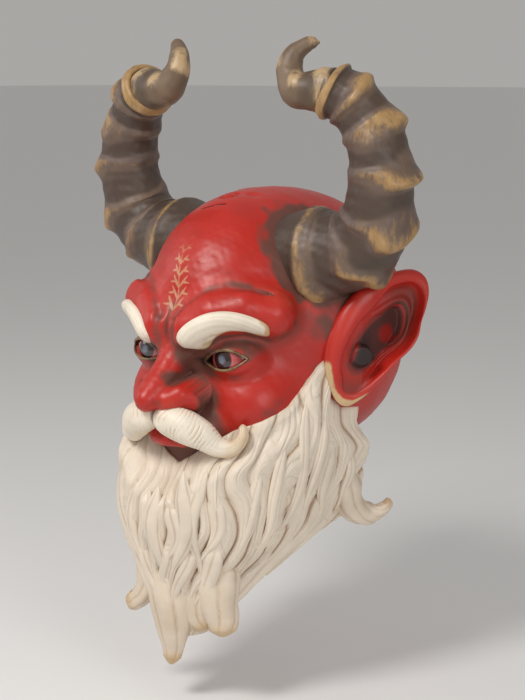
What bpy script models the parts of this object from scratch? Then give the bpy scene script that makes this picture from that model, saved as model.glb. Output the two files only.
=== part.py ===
"""A carved and painted folk devil mask: a hollow wooden head that hangs on a wall by a ring in its back.

Run with: blender --background --python part.py
Metres, +Z up. The face looks along -Y and the wall is the plane Y = 0. The origin is the middle of the
back rim's top, so the mask hangs below and in front of it, and only the horns and the crown rise above it.
"Left" and "right" are the mask's own: its left side is +X.
"""

import math

import bmesh
import bpy
import numpy as np
from mathutils import Matrix, Vector

MM = 0.001
FIT = 0.3 * MM  # gap between two pieces that touch
SKIN_GAP = 0.45  # the same gap over the head, where it is measured along a slant, in millimetres

# The head. Everything else is placed from its centre, in millimetres (see at()).
HEAD_CENTRE = Vector((0.0, -35.0, -63.0)) * MM
WALL_Y = 35.0  # the wall plane, behind the head's centre
CROWN_RADII = (83.0, 85.0, 85.0)
CROWN_CENTRE = (0.0, 14.0, -12.0)
RIM_WIDTH = 14.0
HOLLOW_CENTRE = (0.0, 10.0, -16.0)
HOLLOW_RADII = (68.0, 66.0, 78.0)
MOUTH_OF_HOLLOW = (58.0, 69.0)  # half width and half height where the hollow meets the wall plane

# Eyes: glass balls set from behind.
EYE_CENTRE = (31.0, -70.0, -23.5)
EYE_RADIUS = 16.0
EYE_CORNERS = ((17.5, -86.0, -25.5), (45.5, -76.0, -21.5))
EYE_OPENING_HALF_HEIGHT = 6.5
PLUG_SPAN = (-66.0, -52.0)

# Ears: an outline in the ear's own plane (along the ear, up), from its middle.
EAR_MIDDLE = (91.7, -0.4, -14.0)
EAR_ALONG = Vector((0.43, 0.90, 0.0)).normalized()
EAR_OUTLINE = (
    (32, 29), (24, 39), (12, 40), (-7, 33), (-22, 20), (-32, 7), (-35, -6),
    (-33, -17), (-27, -37), (-16, -44), (-4, -33), (11, -17), (23, -7), (28, 0), (29, 11),
)
EAR_THICKNESS = 8.0
EAR_DISH = 11.0
EAR_ROOT = ((80, -13, -24), (13, 13, 24))  # centre and radii

# Horns: where the middle of the horn runs, and how thick it is there.
HORN_LINE = (
    (30, -23, 31), (49, -22, 36), (67, -21, 38), (86, -20, 44), (100, -21, 58),
    (107, -24, 78), (106, -25, 99), (98, -27, 119), (86, -31, 132), (75, -35, 137),
)
HORN_RADII = (29, 29.5, 28, 25.5, 23.5, 21.5, 20, 18.5, 17.5, 17.5)
HORN_RINGS = 7  # ridges that wind round the horn
RIDGE_HEIGHT = 0.09
TIP_LINE = (
    (77, -35, 137), (68, -38, 137), (58, -41, 136), (50, -41, 140), (46, -39, 149),
    (47, -36, 158), (53, -31, 164), (59, -27, 165),
)
TIP_RADII = (13, 12.5, 11, 9.5, 8, 6.5, 5, 4)
TIP_SOCKET_DEPTH = 3.0

# Face hair, as (x, height) on the front of the head, and how far the hair stands proud.
BROW_LINE = ((13, -14, 2.0), (22, -6, 2.0), (33, 2, 2.0), (44, 4, 2.0), (53, 2, 1.5), (58, -3, 1.0))
BROW_RADII = (4.5, 6, 6.5, 6.5, 6, 4.5)
MOUSTACHE_LINE = (
    (2.5, -106, -64), (12, -106, -67), (24, -101, -71), (34, -95, -78), (42, -92, -83),
    (50, -88, -79), (52, -84, -70), (48, -82, -63),
)
MOUSTACHE_RADII = (7, 9.5, 10.5, 8.5, 6, 5.2, 4.4, 3.2)

# Beard: D-shaped sections from the ears down to the point (height, half width, front, back).
BEARD_SECTIONS = (
    (-14, 76, -60, 6), (-40, 77, -84, 6), (-62, 76, -102, 6), (-84, 75, -111, 6), (-105, 72, -114, 4),
    (-125, 67, -114, -4), (-142, 57, -111, -28), (-160, 43, -107, -50), (-178, 30, -103, -66),
    (-190, 22, -99, -74),
)
BEARD_SQUARENESS = 2.3
SCOOP = ((0, 40, -125), (56, 105, 62))  # the hollow behind the beard: centre and radii
BEARD_LINE_SLOPE = 1.0  # the hair line falls this much for each step forward, from sideburn to lip
BEARD_LINE_HEIGHT = 14.0
SIDE_BLOCK_X = 40.0  # the glue line between the middle block and a side block
MIDDLE_PRONG = ((0, -92, -166), (0, -90, -195), (-1, -89, -214))
MIDDLE_PRONG_RADII = (17, 11.5, 6.5)
LOW_PRONG = ((22, -90, -160), (29, -88, -180), (33, -87, -194))
LOW_PRONG_RADII = (14, 11, 8)
SIDE_CURL = ((60, -14, -112), (66, 0, -127), (71, 11, -134), (75, 19, -131), (76, 22, -124))
SIDE_CURL_RADII = (13, 11, 8, 6, 4)

# Wooden dowels: (from, to, radius). Each starts in the head's wood, clear of the hollow.
HORN_DOWEL = ((49, -22.3, 35.5), (83, -20.5, 43), 6.0)
TIP_DOWEL = ((84, -32, 133), (67, -38, 137), 3.0)
EAR_DOWEL = ((66.5, -13, -24), (83.5, -13, -24), 4.0)
CHIN_DOWEL = ((18, -72, -92), (18, -72, -132), 5.0)
JAW_DOWEL = ((46, -20, -74), (69, -20, -74), 4.0)

# The hanger: a batten across the hollow, and a strap on it with a ring. Heights are from the head's centre.
BATTEN_LOW = (-68.0, 13.0, 8.0)
BATTEN_HIGH = (68.0, 27.0, 24.0)
BATTEN_SCREW_X = 63.5
STRAP_WIDTH = 13.0
STRAP_THICKNESS = 1.2
STRAP_BOTTOM = 6.0
KNUCKLE_RADIUS = 2.8
WIRE_RADIUS = 1.2
RING_HALF_WIDTH = 10.0
RING_CORNER = 4.0
RING_RISE = 19.0
SCREW_HEIGHT = 14.0
SCREW_LENGTH = 12.0
SCREW_RADIUS = 1.7
SCREW_HEAD = (3.4, 1.6)  # radius and height
STRAP_FACE_Y = BATTEN_HIGH[1] + FIT / MM
PIVOT = (0.0, STRAP_FACE_Y + KNUCKLE_RADIUS, 28.0)


def at(point):
    """A point given in millimetres from the head's centre, in metres from the origin."""
    return HEAD_CENTRE + Vector(point) * MM


def across(point, side):
    """The same point on the mask's left (side 1) or right (side -1)."""
    return (point[0] * side, point[1], point[2])


# ---------------------------------------------------------------- scene


def clear_scene():
    for old in list(bpy.data.objects):
        bpy.data.objects.remove(old)


def collection(name, hidden=False):
    made = bpy.data.collections.new(name)
    made.hide_render = hidden
    bpy.context.scene.collection.children.link(made)
    return made


def material(name, colour, roughness, metallic=0.0):
    made = bpy.data.materials.new(name)
    made.use_nodes = True
    shader = made.node_tree.nodes["Principled BSDF"]
    shader.inputs["Base Color"].default_value = (*colour, 1.0)
    shader.inputs["Roughness"].default_value = roughness
    shader.inputs["Metallic"].default_value = metallic
    made.diffuse_color = (*colour, 1.0)
    return made


clear_scene()
PARTS = collection("devil_mask")
TOOLS = collection("cutters", hidden=True)
RED = material("red_lacquer", (0.52, 0.035, 0.02), 0.35)
HORN = material("horn_paint", (0.13, 0.09, 0.065), 0.5)
IVORY = material("ivory_paint", (0.72, 0.62, 0.48), 0.5)
GLASS = material("eye_glass", (0.10, 0.01, 0.01), 0.08)
WOOD = material("bare_wood", (0.50, 0.33, 0.19), 0.7)
STEEL = material("zinc_steel", (0.60, 0.60, 0.58), 0.35, 1.0)


def place(name, mesh, paint, where=PARTS):
    made = bpy.data.objects.new(name, mesh)
    made.data.materials.clear()
    made.data.materials.append(paint)
    where.objects.link(made)
    if where is TOOLS:
        made.hide_render = True
        made.display_type = "WIRE"
    return made


def mesh_from(bm, name):
    bmesh.ops.recalc_face_normals(bm, faces=bm.faces)
    mesh = bpy.data.meshes.new(name)
    bm.to_mesh(mesh)
    bm.free()
    mesh.shade_smooth()
    mesh.set_sharp_from_angle(angle=math.radians(40))
    return mesh


def boolean(target, tool, operation):
    step = target.modifiers.new(f"{operation.lower()}_{tool.name}", "BOOLEAN")
    step.object = tool
    step.operation = operation
    step.solver = "EXACT"


def cut(target, tool):
    boolean(target, tool, "DIFFERENCE")


def join(target, tool):
    boolean(target, tool, "UNION")


# ---------------------------------------------------------------- the head's outer surface


def ellipsoid(points, centre, radii):
    """Distance from each point to an ellipsoid, near enough to walk along."""
    scaled = (points - np.array(centre)) / np.array(radii)
    reach = np.linalg.norm(scaled, axis=1)
    slope = np.linalg.norm(scaled / np.array(radii), axis=1)
    return reach * (reach - 1.0) / np.maximum(slope, 1e-9)


def rod(points, start, end, start_radius, end_radius):
    """Distance to a round rod that tapers from one end to the other."""
    start, end = np.array(start, float), np.array(end, float)
    along = np.clip((points - start) @ (end - start) / ((end - start) @ (end - start)), 0, 1)
    radius = start_radius + (end_radius - start_radius) * along
    return np.linalg.norm(points - start - along[:, None] * (end - start), axis=1) - radius


def blend(first, second, softness):
    """The two distances joined, with the valley between them filled over this many millimetres."""
    share = np.clip(0.5 + 0.5 * (second - first) / softness, 0, 1)
    return second * (1 - share) + first * share - softness * share * (1 - share)


def head_distance(points):
    """Distance from the carved head's surface. The head is symmetric, so only its left side is described."""
    p = points.copy()
    p[:, 0] = np.abs(p[:, 0])
    head = ellipsoid(p, CROWN_CENTRE, CROWN_RADII)
    head = blend(head, ellipsoid(p, (0, -16, 8), (60, 76, 66)), 12)  # forehead
    head = blend(head, ellipsoid(p, (0, -22, -48), (60, 64, 56)), 20)  # middle of the face
    head = blend(head, ellipsoid(p, (0, -48, -84), (42, 42, 32)), 20)  # jaw
    head = blend(head, rod(p, (15, -84, -8), (58, -56, 6), 15, 14), 14)  # brow
    head = blend(head, ellipsoid(p, (38, -62, -50), (24, 22, 20)), 14)  # cheek
    head = blend(head, ellipsoid(p, EYE_CENTRE, (19, 18.5, 15.5)), 8)  # eyelids
    head = blend(head, rod(p, (0, -82, -14), (0, -106, -44), 9, 11), 10)  # bridge of the nose
    head = blend(head, ellipsoid(p, (0, -113, -46), (13, 13, 12)), 6)  # tip of the nose
    head = blend(head, ellipsoid(p, (17, -100, -50), (9, 13, 9)), 5)  # side of the nose
    return blend(head, ellipsoid(p, (0, -84, -70), (30, 20, 16)), 10)  # lips


def walk_to_head(starts, directions):
    """Walks each start along its direction until it reaches the head."""
    spots = np.array(starts, float)
    for _ in range(60):
        spots += directions * (0.8 * head_distance(spots))[:, None]
    return spots


def head_solid(name, gap, where):
    """The whole head with no hollow: a sphere whose points are drawn in until they lie on the carved surface."""
    middle = np.array((0.0, -10.0, -20.0))
    bm = bmesh.new()
    bmesh.ops.create_uvsphere(bm, u_segments=48, v_segments=32, radius=1.0)
    bmesh.ops.rotate(bm, verts=bm.verts, matrix=Matrix.Rotation(math.pi / 2, 3, "X"))
    bmesh.ops.triangulate(bm, faces=bm.faces, quad_method="FIXED")
    rays = np.array([v.co.normalized() for v in bm.verts])
    for vertex, spot, ray in zip(bm.verts, walk_to_head(middle + rays * 180.0, -rays), rays, strict=True):
        vertex.co = at(spot + ray * gap)
    return place(name, mesh_from(bm, name), RED, where)


def on_face(x, height, proud):
    """The point of the face straight behind (x, height), and then this far out of it."""
    start = np.array([[x, -200.0, height]])
    spot = walk_to_head(start, np.array([[0.0, 1.0, 0.0]]))[0]
    return (spot[0], spot[1] - proud, spot[2])


# ---------------------------------------------------------------- shapes


def smooth_line(points, count):
    """A smooth curve through the points, as count points, with whatever columns they have."""
    points = np.array(points, float)
    ends = np.vstack([2 * points[0] - points[1], points, 2 * points[-1] - points[-2]])
    made = []
    for step in np.linspace(0, len(points) - 1, count):
        i = min(int(step), len(points) - 2)
        t = step - i
        a, b, c, d = ends[i : i + 4]
        made.append(0.5 * (2 * b + (c - a) * t + (2 * a - 5 * b + 4 * c - d) * t**2
                           + (3 * b - a - 3 * c + d) * t**3))
    return np.array(made)


def tube(name, points, radii, paint, count=12, sides=2, where=PARTS, ridges=0):
    """A round bar along a smooth line with a radius for each point, as a closed mesh."""
    line = smooth_line([(*p, r) for p, r in zip(points, radii, strict=True)], count)
    curve = bpy.data.curves.new(name, "CURVE")
    curve.dimensions = "3D"
    curve.bevel_depth = MM
    curve.bevel_resolution = sides
    curve.use_fill_caps = True
    spline = curve.splines.new("POLY")
    spline.points.add(count - 1)
    for i, (point, row) in enumerate(zip(spline.points, line, strict=True)):
        swell = 1 + RIDGE_HEIGHT * math.sin(2 * math.pi * ridges * i / (count - 1)) if ridges else 1
        point.co = (*at(row[:3]), 1.0)
        point.radius = row[3] * swell
    holder = bpy.data.objects.new(name, curve)
    TOOLS.objects.link(holder)
    bpy.context.view_layer.update()
    mesh = bpy.data.meshes.new_from_object(holder.evaluated_get(bpy.context.evaluated_depsgraph_get()))
    bpy.data.objects.remove(holder)
    bm = bmesh.new()
    bm.from_mesh(mesh)
    bmesh.ops.remove_doubles(bm, verts=bm.verts, dist=1e-6)
    return place(name, mesh_from(bm, name), paint, where)


def bar(name, start, end, radius, paint, where=PARTS, longer=0.0, segments=16):
    """A straight round bar between two points. longer stretches both ends, for a hole with room in it."""
    start, end = at(start), at(end)
    axis = (end - start).normalized()
    bm = bmesh.new()
    bmesh.ops.create_cone(bm, cap_ends=True, segments=segments, radius1=radius * MM, radius2=radius * MM,
                          depth=(end - start).length + 2 * longer * MM)
    made = place(name, mesh_from(bm, name), paint, where)
    made.location = (start + end) / 2
    made.rotation_mode = "QUATERNION"
    made.rotation_quaternion = axis.to_track_quat("Z", "Y")
    return made


def ball(name, centre, radii, paint, where=PARTS, segments=20, rings=12):
    bm = bmesh.new()
    bmesh.ops.create_uvsphere(bm, u_segments=segments, v_segments=rings, radius=1.0)
    bmesh.ops.scale(bm, vec=Vector(radii) * MM, verts=bm.verts)
    made = place(name, mesh_from(bm, name), paint, where)
    made.location = at(centre)
    return made


def block(name, low, high, where=TOOLS):
    bm = bmesh.new()
    bmesh.ops.create_cube(bm, size=1.0)
    low, high = at(low), at(high)
    bmesh.ops.scale(bm, vec=high - low, verts=bm.verts)
    made = place(name, mesh_from(bm, name), WOOD, where)
    made.location = (low + high) / 2
    return made


def dowel(name, spec, side, *holders):
    """A wooden dowel, and its hole in each piece that it holds."""
    start, end, radius = spec
    start, end = across(start, side), across(end, side)
    made = bar(name, start, end, radius, WOOD)
    hole = bar(f"{name}_hole", start, end, radius + FIT / MM, WOOD, TOOLS, longer=1.0)
    for holder in holders:
        cut(holder, hole)
    return made


# ---------------------------------------------------------------- the carved head


def hollowed_head():
    head = head_solid("face_shell", 0.0, PARTS)
    cut(head, block("wall_side", (-150, WALL_Y, -200), (150, WALL_Y + 150, 200)))
    cut(head, ball("hollow", HOLLOW_CENTRE, HOLLOW_RADII, WOOD, TOOLS, 36, 22))
    half_width, half_height = MOUTH_OF_HOLLOW
    mouth = bar("hollow_mouth", (0, 5, HOLLOW_CENTRE[2]), (0, WALL_Y + 20, HOLLOW_CENTRE[2]), 1.0, WOOD,
                TOOLS, segments=36)
    mouth.rotation_mode = "XYZ"
    mouth.rotation_euler = (math.pi / 2, 0, 0)
    mouth.scale = (half_width, half_height, 1.0)
    cut(head, mouth)
    room = Vector((FIT, FIT, FIT)) / MM
    cut(head, block("batten_notch", Vector(BATTEN_LOW) - room, Vector(BATTEN_HIGH) + room + Vector((0, 20, 0))))
    return head


def eye_opening(side):
    """The almond between the lids: a ball stretched from one corner of the eye to the other."""
    inner, outer = (Vector(across(corner, side)) for corner in EYE_CORNERS)
    made = ball(f"lids_{side}", (inner + outer) / 2, ((outer - inner).length / 2, 12, EYE_OPENING_HALF_HEIGHT),
                WOOD, TOOLS, 20, 12)
    made.rotation_mode = "QUATERNION"
    made.rotation_quaternion = (outer - inner).to_track_quat("X", "Z")
    return made


def eye(side, word, head):
    """A glass ball in a round seat, with the wooden plug that holds it in from behind."""
    centre = across(EYE_CENTRE, side)
    x, y, z = centre
    seat = ball(f"seat_{word}", centre, [EYE_RADIUS + FIT / MM] * 3, WOOD, TOOLS)
    bore = bar(f"bore_{word}", centre, (x, y + 40, z), EYE_RADIUS + FIT / MM, WOOD, TOOLS, segments=24)
    for tool in (seat, bore, eye_opening(side)):
        cut(head, tool)
    ball(f"eye_{word}", centre, [EYE_RADIUS] * 3, GLASS)
    near, far = PLUG_SPAN
    plug = bar(f"eye_plug_{word}", (x, near, z), (x, far, z), EYE_RADIUS, WOOD, segments=24)
    cut(plug, seat)


def nostril(side, word, head):
    cut(head, ball(f"nostril_{word}", across((11, -105, -60), side), (5.5, 8, 7), WOOD, TOOLS, 16, 10))


# ---------------------------------------------------------------- pieces glued and pegged to the head


def horn(side, word, head, skin):
    """The ringed horn on its dowel, and its curled tip in a shallow socket with a thinner dowel."""
    line = [across(p, side) for p in HORN_LINE]
    body = tube(f"horn_{word}", line, HORN_RADII, HORN, count=36, sides=2, ridges=HORN_RINGS)
    cut(body, skin)
    end, before = Vector(line[-1]), Vector(line[-2])
    inward = (before - end).normalized()
    socket = bar(f"tip_socket_{word}", end - inward * 4, end + inward * TIP_SOCKET_DEPTH, HORN_RADII[-1] - 3,
                 WOOD, TOOLS, segments=20)
    cut(body, socket)
    tip = tube(f"horn_tip_{word}", [across(p, side) for p in TIP_LINE], TIP_RADII, HORN, count=16, sides=2)
    behind_socket = bar(f"tip_back_{word}", end + inward * (TIP_SOCKET_DEPTH - FIT / MM), end + inward * 30,
                        30, WOOD, TOOLS)
    cut(tip, behind_socket)
    dowel(f"horn_dowel_{word}", HORN_DOWEL, side, head, body)
    dowel(f"tip_dowel_{word}", TIP_DOWEL, side, body, tip)


def ear_point(across_ear, up_ear, out_of_ear, side):
    normal = Vector((EAR_ALONG.y, -EAR_ALONG.x, 0.0))
    spot = Vector(EAR_MIDDLE) + EAR_ALONG * across_ear + Vector((0, 0, up_ear)) + normal * out_of_ear
    return across(spot, side)


def ear_shape(name, side, grow, where):
    """A pointed leaf, dished like a spoon: a flattened sphere whose rim is drawn out to the ear's outline."""
    outline = np.array([*EAR_OUTLINE, EAR_OUTLINE[0]], float)
    angles = np.unwrap(np.arctan2(outline[:, 1], outline[:, 0]))
    reach = np.linalg.norm(outline, axis=1) + grow
    bm = bmesh.new()
    bmesh.ops.create_uvsphere(bm, u_segments=30, v_segments=10, radius=1.0)
    for vertex in bm.verts:
        x, y, thick = vertex.co
        share = min(1.0, math.hypot(x, y))
        angle = math.atan2(y, x)
        while angle < angles[0]:
            angle += 2 * math.pi
        length = share * np.interp(angle, angles, reach)
        dish = -EAR_DISH * (1 - share**2)
        vertex.co = at(ear_point(length * math.cos(angle), length * math.sin(angle),
                                 dish + thick * (EAR_THICKNESS / 2 + grow), side))
    made = place(name, mesh_from(bm, name), RED, where)
    join(made, ball(f"{name}_root", across(EAR_ROOT[0], side), [r + grow for r in EAR_ROOT[1]], RED, TOOLS, 16, 10))
    return made


def ear(side, word, head, skin):
    """The ear on its dowel, and a slightly larger copy that cuts room for it in the beard."""
    made = ear_shape(f"ear_{word}", side, 0.0, PARTS)
    cut(made, skin)
    dowel(f"ear_dowel_{word}", EAR_DOWEL, side, head, made)
    return ear_shape(f"ear_room_{word}", side, 2 * FIT / MM, TOOLS)


def brow(side, word, skin):
    line = [across(on_face(*spot), side) for spot in BROW_LINE]
    cut(tube(f"brow_{word}", line, BROW_RADII, IVORY, count=14, sides=2), skin)


def moustache(side, word, skin):
    """Half of the moustache: a fat lock that thins to a curl turned up over the cheek."""
    line = [across(p, side) for p in MOUSTACHE_LINE]
    made = tube(f"moustache_{word}", line, MOUSTACHE_RADII, IVORY, count=20, sides=2)
    cut(made, skin)
    low, high = sorted((FIT / MM / 2 * side, -30 * side))
    cut(made, block(f"parting_{word}", (low, -150, -100), (high, -50, -30)))
    grown = [r + 2 * FIT / MM for r in MOUSTACHE_RADII]
    return tube(f"moustache_room_{word}", line, grown, IVORY, count=20, sides=2, where=TOOLS)


def beard_mass(name, where):
    """The beard before it is split: D-shaped sections, one above the other, skinned into one solid."""
    turns = 26
    bm = bmesh.new()
    rings = []
    for height, half_width, front, back in BEARD_SECTIONS:
        ring = []
        for angle in np.linspace(0, math.pi, turns):
            x, y = math.cos(angle), math.sin(angle)
            square = (abs(x) ** BEARD_SQUARENESS + y**BEARD_SQUARENESS) ** (-1 / BEARD_SQUARENESS)
            ring.append(bm.verts.new(at((half_width * x * square, back + (front - back) * y * square, height))))
        rings.append(ring)
    for upper, lower in zip(rings, rings[1:], strict=False):
        for i in range(turns):
            j = (i + 1) % turns
            bm.faces.new((upper[i], upper[j], lower[j], lower[i]))
    bm.faces.new(rings[0])
    bm.faces.new(rings[-1])
    made = place(name, mesh_from(bm, name), IVORY, where)
    cut(made, hair_line())
    cut(made, ball(f"scoop_{name}", *SCOOP, IVORY, TOOLS, 28, 16))
    return made


def hair_line():
    """A block whose sloping underside is the edge of the beard, from the sideburn down to the lower lip."""
    made = block("hair_line", (-150, -150, 0), (150, 150, 150))
    slope = math.atan(BEARD_LINE_SLOPE)
    made.rotation_euler = (slope, 0, 0)
    made.location = at((0, 0, BEARD_LINE_HEIGHT)) + Vector((0, -math.sin(slope), math.cos(slope))) * 75 * MM
    return made


def beard(head, skin, rooms, lips):
    """Three blocks glued side by side, with the low prongs and the curled ends carved on them."""
    edge = SIDE_BLOCK_X - FIT / MM / 2
    middle = beard_mass("beard_middle", PARTS)
    join(middle, tube("prong_middle", MIDDLE_PRONG, MIDDLE_PRONG_RADII, IVORY, 8, 2, TOOLS))
    for side, word in ((1, "left"), (-1, "right")):
        join(middle, tube(f"prong_{side}", [across(p, side) for p in LOW_PRONG], LOW_PRONG_RADII, IVORY, 8, 2,
                          TOOLS))
        outer = sorted((edge * side, 200 * side))
        cut(middle, block(f"past_middle_{side}", (outer[0], -200, -250), (outer[1], 100, 100)))
        dowel(f"chin_dowel_{word}", CHIN_DOWEL, side, head, middle)
        cut(middle, lips[side])
    cut(middle, skin)
    for side, word in ((1, "left"), (-1, "right")):
        made = beard_mass(f"beard_{word}", PARTS)
        join(made, tube(f"curl_{word}", [across(p, side) for p in SIDE_CURL], SIDE_CURL_RADII, IVORY, 12, 2,
                        TOOLS))
        inner = sorted(((SIDE_BLOCK_X + FIT / MM / 2) * side, -200 * side))
        cut(made, block(f"past_side_{word}", (inner[0], -200, -250), (inner[1], 100, 100)))
        cut(made, skin)
        cut(made, rooms[side])
        cut(made, lips[side])
        dowel(f"jaw_dowel_{word}", JAW_DOWEL, side, head, made)


# ---------------------------------------------------------------- the hanger


def side_profile(name, points, half_width, paint, where=PARTS):
    """A shape drawn in the Y-Z plane and extruded to both sides of the middle."""
    curve = bpy.data.curves.new(name, "CURVE")
    curve.dimensions = "2D"
    curve.fill_mode = "BOTH"
    curve.extrude = half_width * MM
    spline = curve.splines.new("POLY")
    spline.use_cyclic_u = True
    spline.points.add(len(points) - 1)
    for point, (y, z) in zip(spline.points, points, strict=True):
        point.co = (y * MM, z * MM, 0, 1)
    holder = bpy.data.objects.new(name, curve)
    TOOLS.objects.link(holder)
    holder.matrix_world = Matrix.Translation(HEAD_CENTRE) @ Matrix(
        ((0, 0, 1, 0), (1, 0, 0, 0), (0, 1, 0, 0), (0, 0, 0, 1))
    )
    bpy.context.view_layer.update()
    mesh = bpy.data.meshes.new_from_object(holder.evaluated_get(bpy.context.evaluated_depsgraph_get()))
    mesh.transform(holder.matrix_world)
    bpy.data.objects.remove(holder)
    bm = bmesh.new()
    bm.from_mesh(mesh)
    bmesh.ops.remove_doubles(bm, verts=bm.verts, dist=1e-6)
    return place(name, mesh_from(bm, name), paint, where)


def strap():
    """A steel strap down the back of the batten, rolled at its top into a knuckle for the ring."""
    _, pivot_y, pivot_z = PIVOT
    inner_radius = KNUCKLE_RADIUS - STRAP_THICKNESS
    turn = np.linspace(math.pi, -0.5 * math.pi, 13)
    outer = [(pivot_y + KNUCKLE_RADIUS * math.cos(a), pivot_z + KNUCKLE_RADIUS * math.sin(a)) for a in turn]
    inner = [(pivot_y + inner_radius * math.cos(a), pivot_z + inner_radius * math.sin(a)) for a in turn[::-1]]
    outline = [(STRAP_FACE_Y, STRAP_BOTTOM), *outer, *inner, (STRAP_FACE_Y + STRAP_THICKNESS, STRAP_BOTTOM)]
    return side_profile("hanger_strap", outline, STRAP_WIDTH / 2, STEEL)


def ring():
    """A D of round wire, as it stands when the mask hangs: its straight side lies in the knuckle, its bow is up."""
    bow = [(RING_HALF_WIDTH, RING_CORNER)]
    bow += [(RING_HALF_WIDTH * math.cos(a), RING_CORNER + (RING_RISE - RING_CORNER) * math.sin(a))
            for a in np.linspace(0, math.pi, 15)[1:-1]]
    bow += [(-RING_HALF_WIDTH, RING_CORNER), (1.5 - RING_HALF_WIDTH, 0), (RING_HALF_WIDTH - 1.5, 0)]
    curve = bpy.data.curves.new("hanger_ring", "CURVE")
    curve.dimensions = "3D"
    curve.bevel_depth = WIRE_RADIUS * MM
    curve.bevel_resolution = 2
    spline = curve.splines.new("POLY")
    spline.use_cyclic_u = True
    spline.points.add(len(bow) - 1)
    for point, (x, z) in zip(spline.points, bow, strict=True):
        point.co = (x * MM, 0, z * MM, 1)
    made = bpy.data.objects.new("hanger_ring", curve)
    made.data.materials.append(STEEL)
    made.location = at(PIVOT)
    PARTS.objects.link(made)


def screw(name, x, height, under, *holders):
    """A round-headed wood screw, driven forwards until its head is at under, and a hole for it in each piece."""
    head_radius, head_height = SCREW_HEAD
    seat = under + FIT / MM
    shank = bar(name, (x, seat + 0.5, height), (x, seat - SCREW_LENGTH, height), SCREW_RADIUS, STEEL)
    join(shank, bar(f"{name}_head", (x, seat, height), (x, seat + head_height, height), head_radius, STEEL, TOOLS))
    hole = bar(f"{name}_hole", (x, seat + 0.2, height), (x, seat - SCREW_LENGTH, height), SCREW_RADIUS + FIT / MM,
               WOOD, TOOLS, longer=0.5)
    for holder in holders:
        cut(holder, hole)


def hanger(head):
    batten = block("hanger_batten", BATTEN_LOW, BATTEN_HIGH, PARTS)
    height = (BATTEN_LOW[2] + BATTEN_HIGH[2]) / 2
    screw("hanger_screw", 0, SCREW_HEIGHT, STRAP_FACE_Y + STRAP_THICKNESS, strap(), batten)
    for x, word in ((BATTEN_SCREW_X, "left"), (-BATTEN_SCREW_X, "right")):
        screw(f"batten_screw_{word}", x, height, BATTEN_HIGH[1], batten, head)
    ring()


# ---------------------------------------------------------------- assembly


def build():
    head = hollowed_head()
    skin = head_solid("head_skin", SKIN_GAP, TOOLS)
    rooms, lips = {}, {}
    for side, word in ((1, "left"), (-1, "right")):
        eye(side, word, head)
        nostril(side, word, head)
        horn(side, word, head, skin)
        rooms[side] = ear(side, word, head, skin)
        brow(side, word, skin)
        lips[side] = moustache(side, word, skin)
    beard(head, skin, rooms, lips)
    hanger(head)


build()
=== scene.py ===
# %% [markdown]
# # A carved and painted devil mask
# A wood carver makes this mask as a hollow head with horns, ears and a beard pegged on, covers it with gesso,
# paints it, rubs dark wax into the creases and gold on the high places. The frame gives the plain solids of those
# pieces and the one thing that moves, the ring at the back. This lesson gives each visible piece its carved
# surface and its paint. Every shape below is made from a formula in millimetres around the middle of the head,
# because a carver works outwards from there too.

# %% Load the frame
import math

import bmesh
import bpy
import numpy as np
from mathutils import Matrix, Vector


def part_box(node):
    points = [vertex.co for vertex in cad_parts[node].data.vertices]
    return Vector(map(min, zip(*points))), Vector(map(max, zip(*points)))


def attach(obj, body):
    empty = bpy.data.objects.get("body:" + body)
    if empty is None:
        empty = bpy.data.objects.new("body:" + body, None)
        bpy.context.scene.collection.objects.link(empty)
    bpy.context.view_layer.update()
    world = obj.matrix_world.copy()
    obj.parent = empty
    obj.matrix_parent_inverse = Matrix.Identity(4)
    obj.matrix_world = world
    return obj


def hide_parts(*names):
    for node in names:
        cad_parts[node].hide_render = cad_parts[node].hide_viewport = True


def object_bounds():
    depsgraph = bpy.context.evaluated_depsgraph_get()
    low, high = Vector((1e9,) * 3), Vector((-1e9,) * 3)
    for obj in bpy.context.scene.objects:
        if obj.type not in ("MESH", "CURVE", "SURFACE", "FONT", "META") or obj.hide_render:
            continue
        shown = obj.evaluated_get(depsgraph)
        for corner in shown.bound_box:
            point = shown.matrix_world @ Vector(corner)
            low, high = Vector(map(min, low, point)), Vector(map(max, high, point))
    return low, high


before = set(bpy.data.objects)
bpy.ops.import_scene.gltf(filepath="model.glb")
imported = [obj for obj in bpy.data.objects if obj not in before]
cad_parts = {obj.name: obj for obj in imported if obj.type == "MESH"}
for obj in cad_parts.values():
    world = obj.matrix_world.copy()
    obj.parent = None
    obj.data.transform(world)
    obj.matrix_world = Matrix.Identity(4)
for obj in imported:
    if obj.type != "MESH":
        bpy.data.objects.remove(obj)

cad_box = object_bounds()
print("the solids' box in metres:", cad_box)

# %% [markdown]
# ## Where things are
# The two glass eyes fix the head: its middle is a known step back and up from the point between them. Everything
# after this is in millimetres from that middle, with X to the mask's own left, Y backwards and Z up.

# %% The head's middle
MM = 0.001
EYE = np.array((31.0, -70.0, -23.5))  # the left eye's centre, from the head's middle
WALL_Y = 35.0  # the back rim, which rests on the wall


def box_centre(node):
    low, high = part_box(node)
    return (np.array(low) + np.array(high)) / 2


between_eyes = (box_centre("eye_left") + box_centre("eye_right")) / 2
HEAD = between_eyes - np.array((0.0, EYE[1], EYE[2])) * MM
BODY = "mask"
SIDES = (("left", 1), ("right", -1))
print("the middle of the head, in metres:", HEAD.round(4))


def to_scene(points):
    return HEAD + np.asarray(points, float) * MM


# %% [markdown]
# ## Small tools for shaped surfaces
# Most pieces are grids of points bent into shape, so one helper turns a grid into faces. A smooth line through a
# few points is a Catmull-Rom curve: it passes through each one, so a place on the carving can be given directly.
# The grain of a hand-carved surface comes from a few waves added together, from a seeded generator, so that the
# mask is the same each time.

# %% Grids, smooth lines and waves


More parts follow.
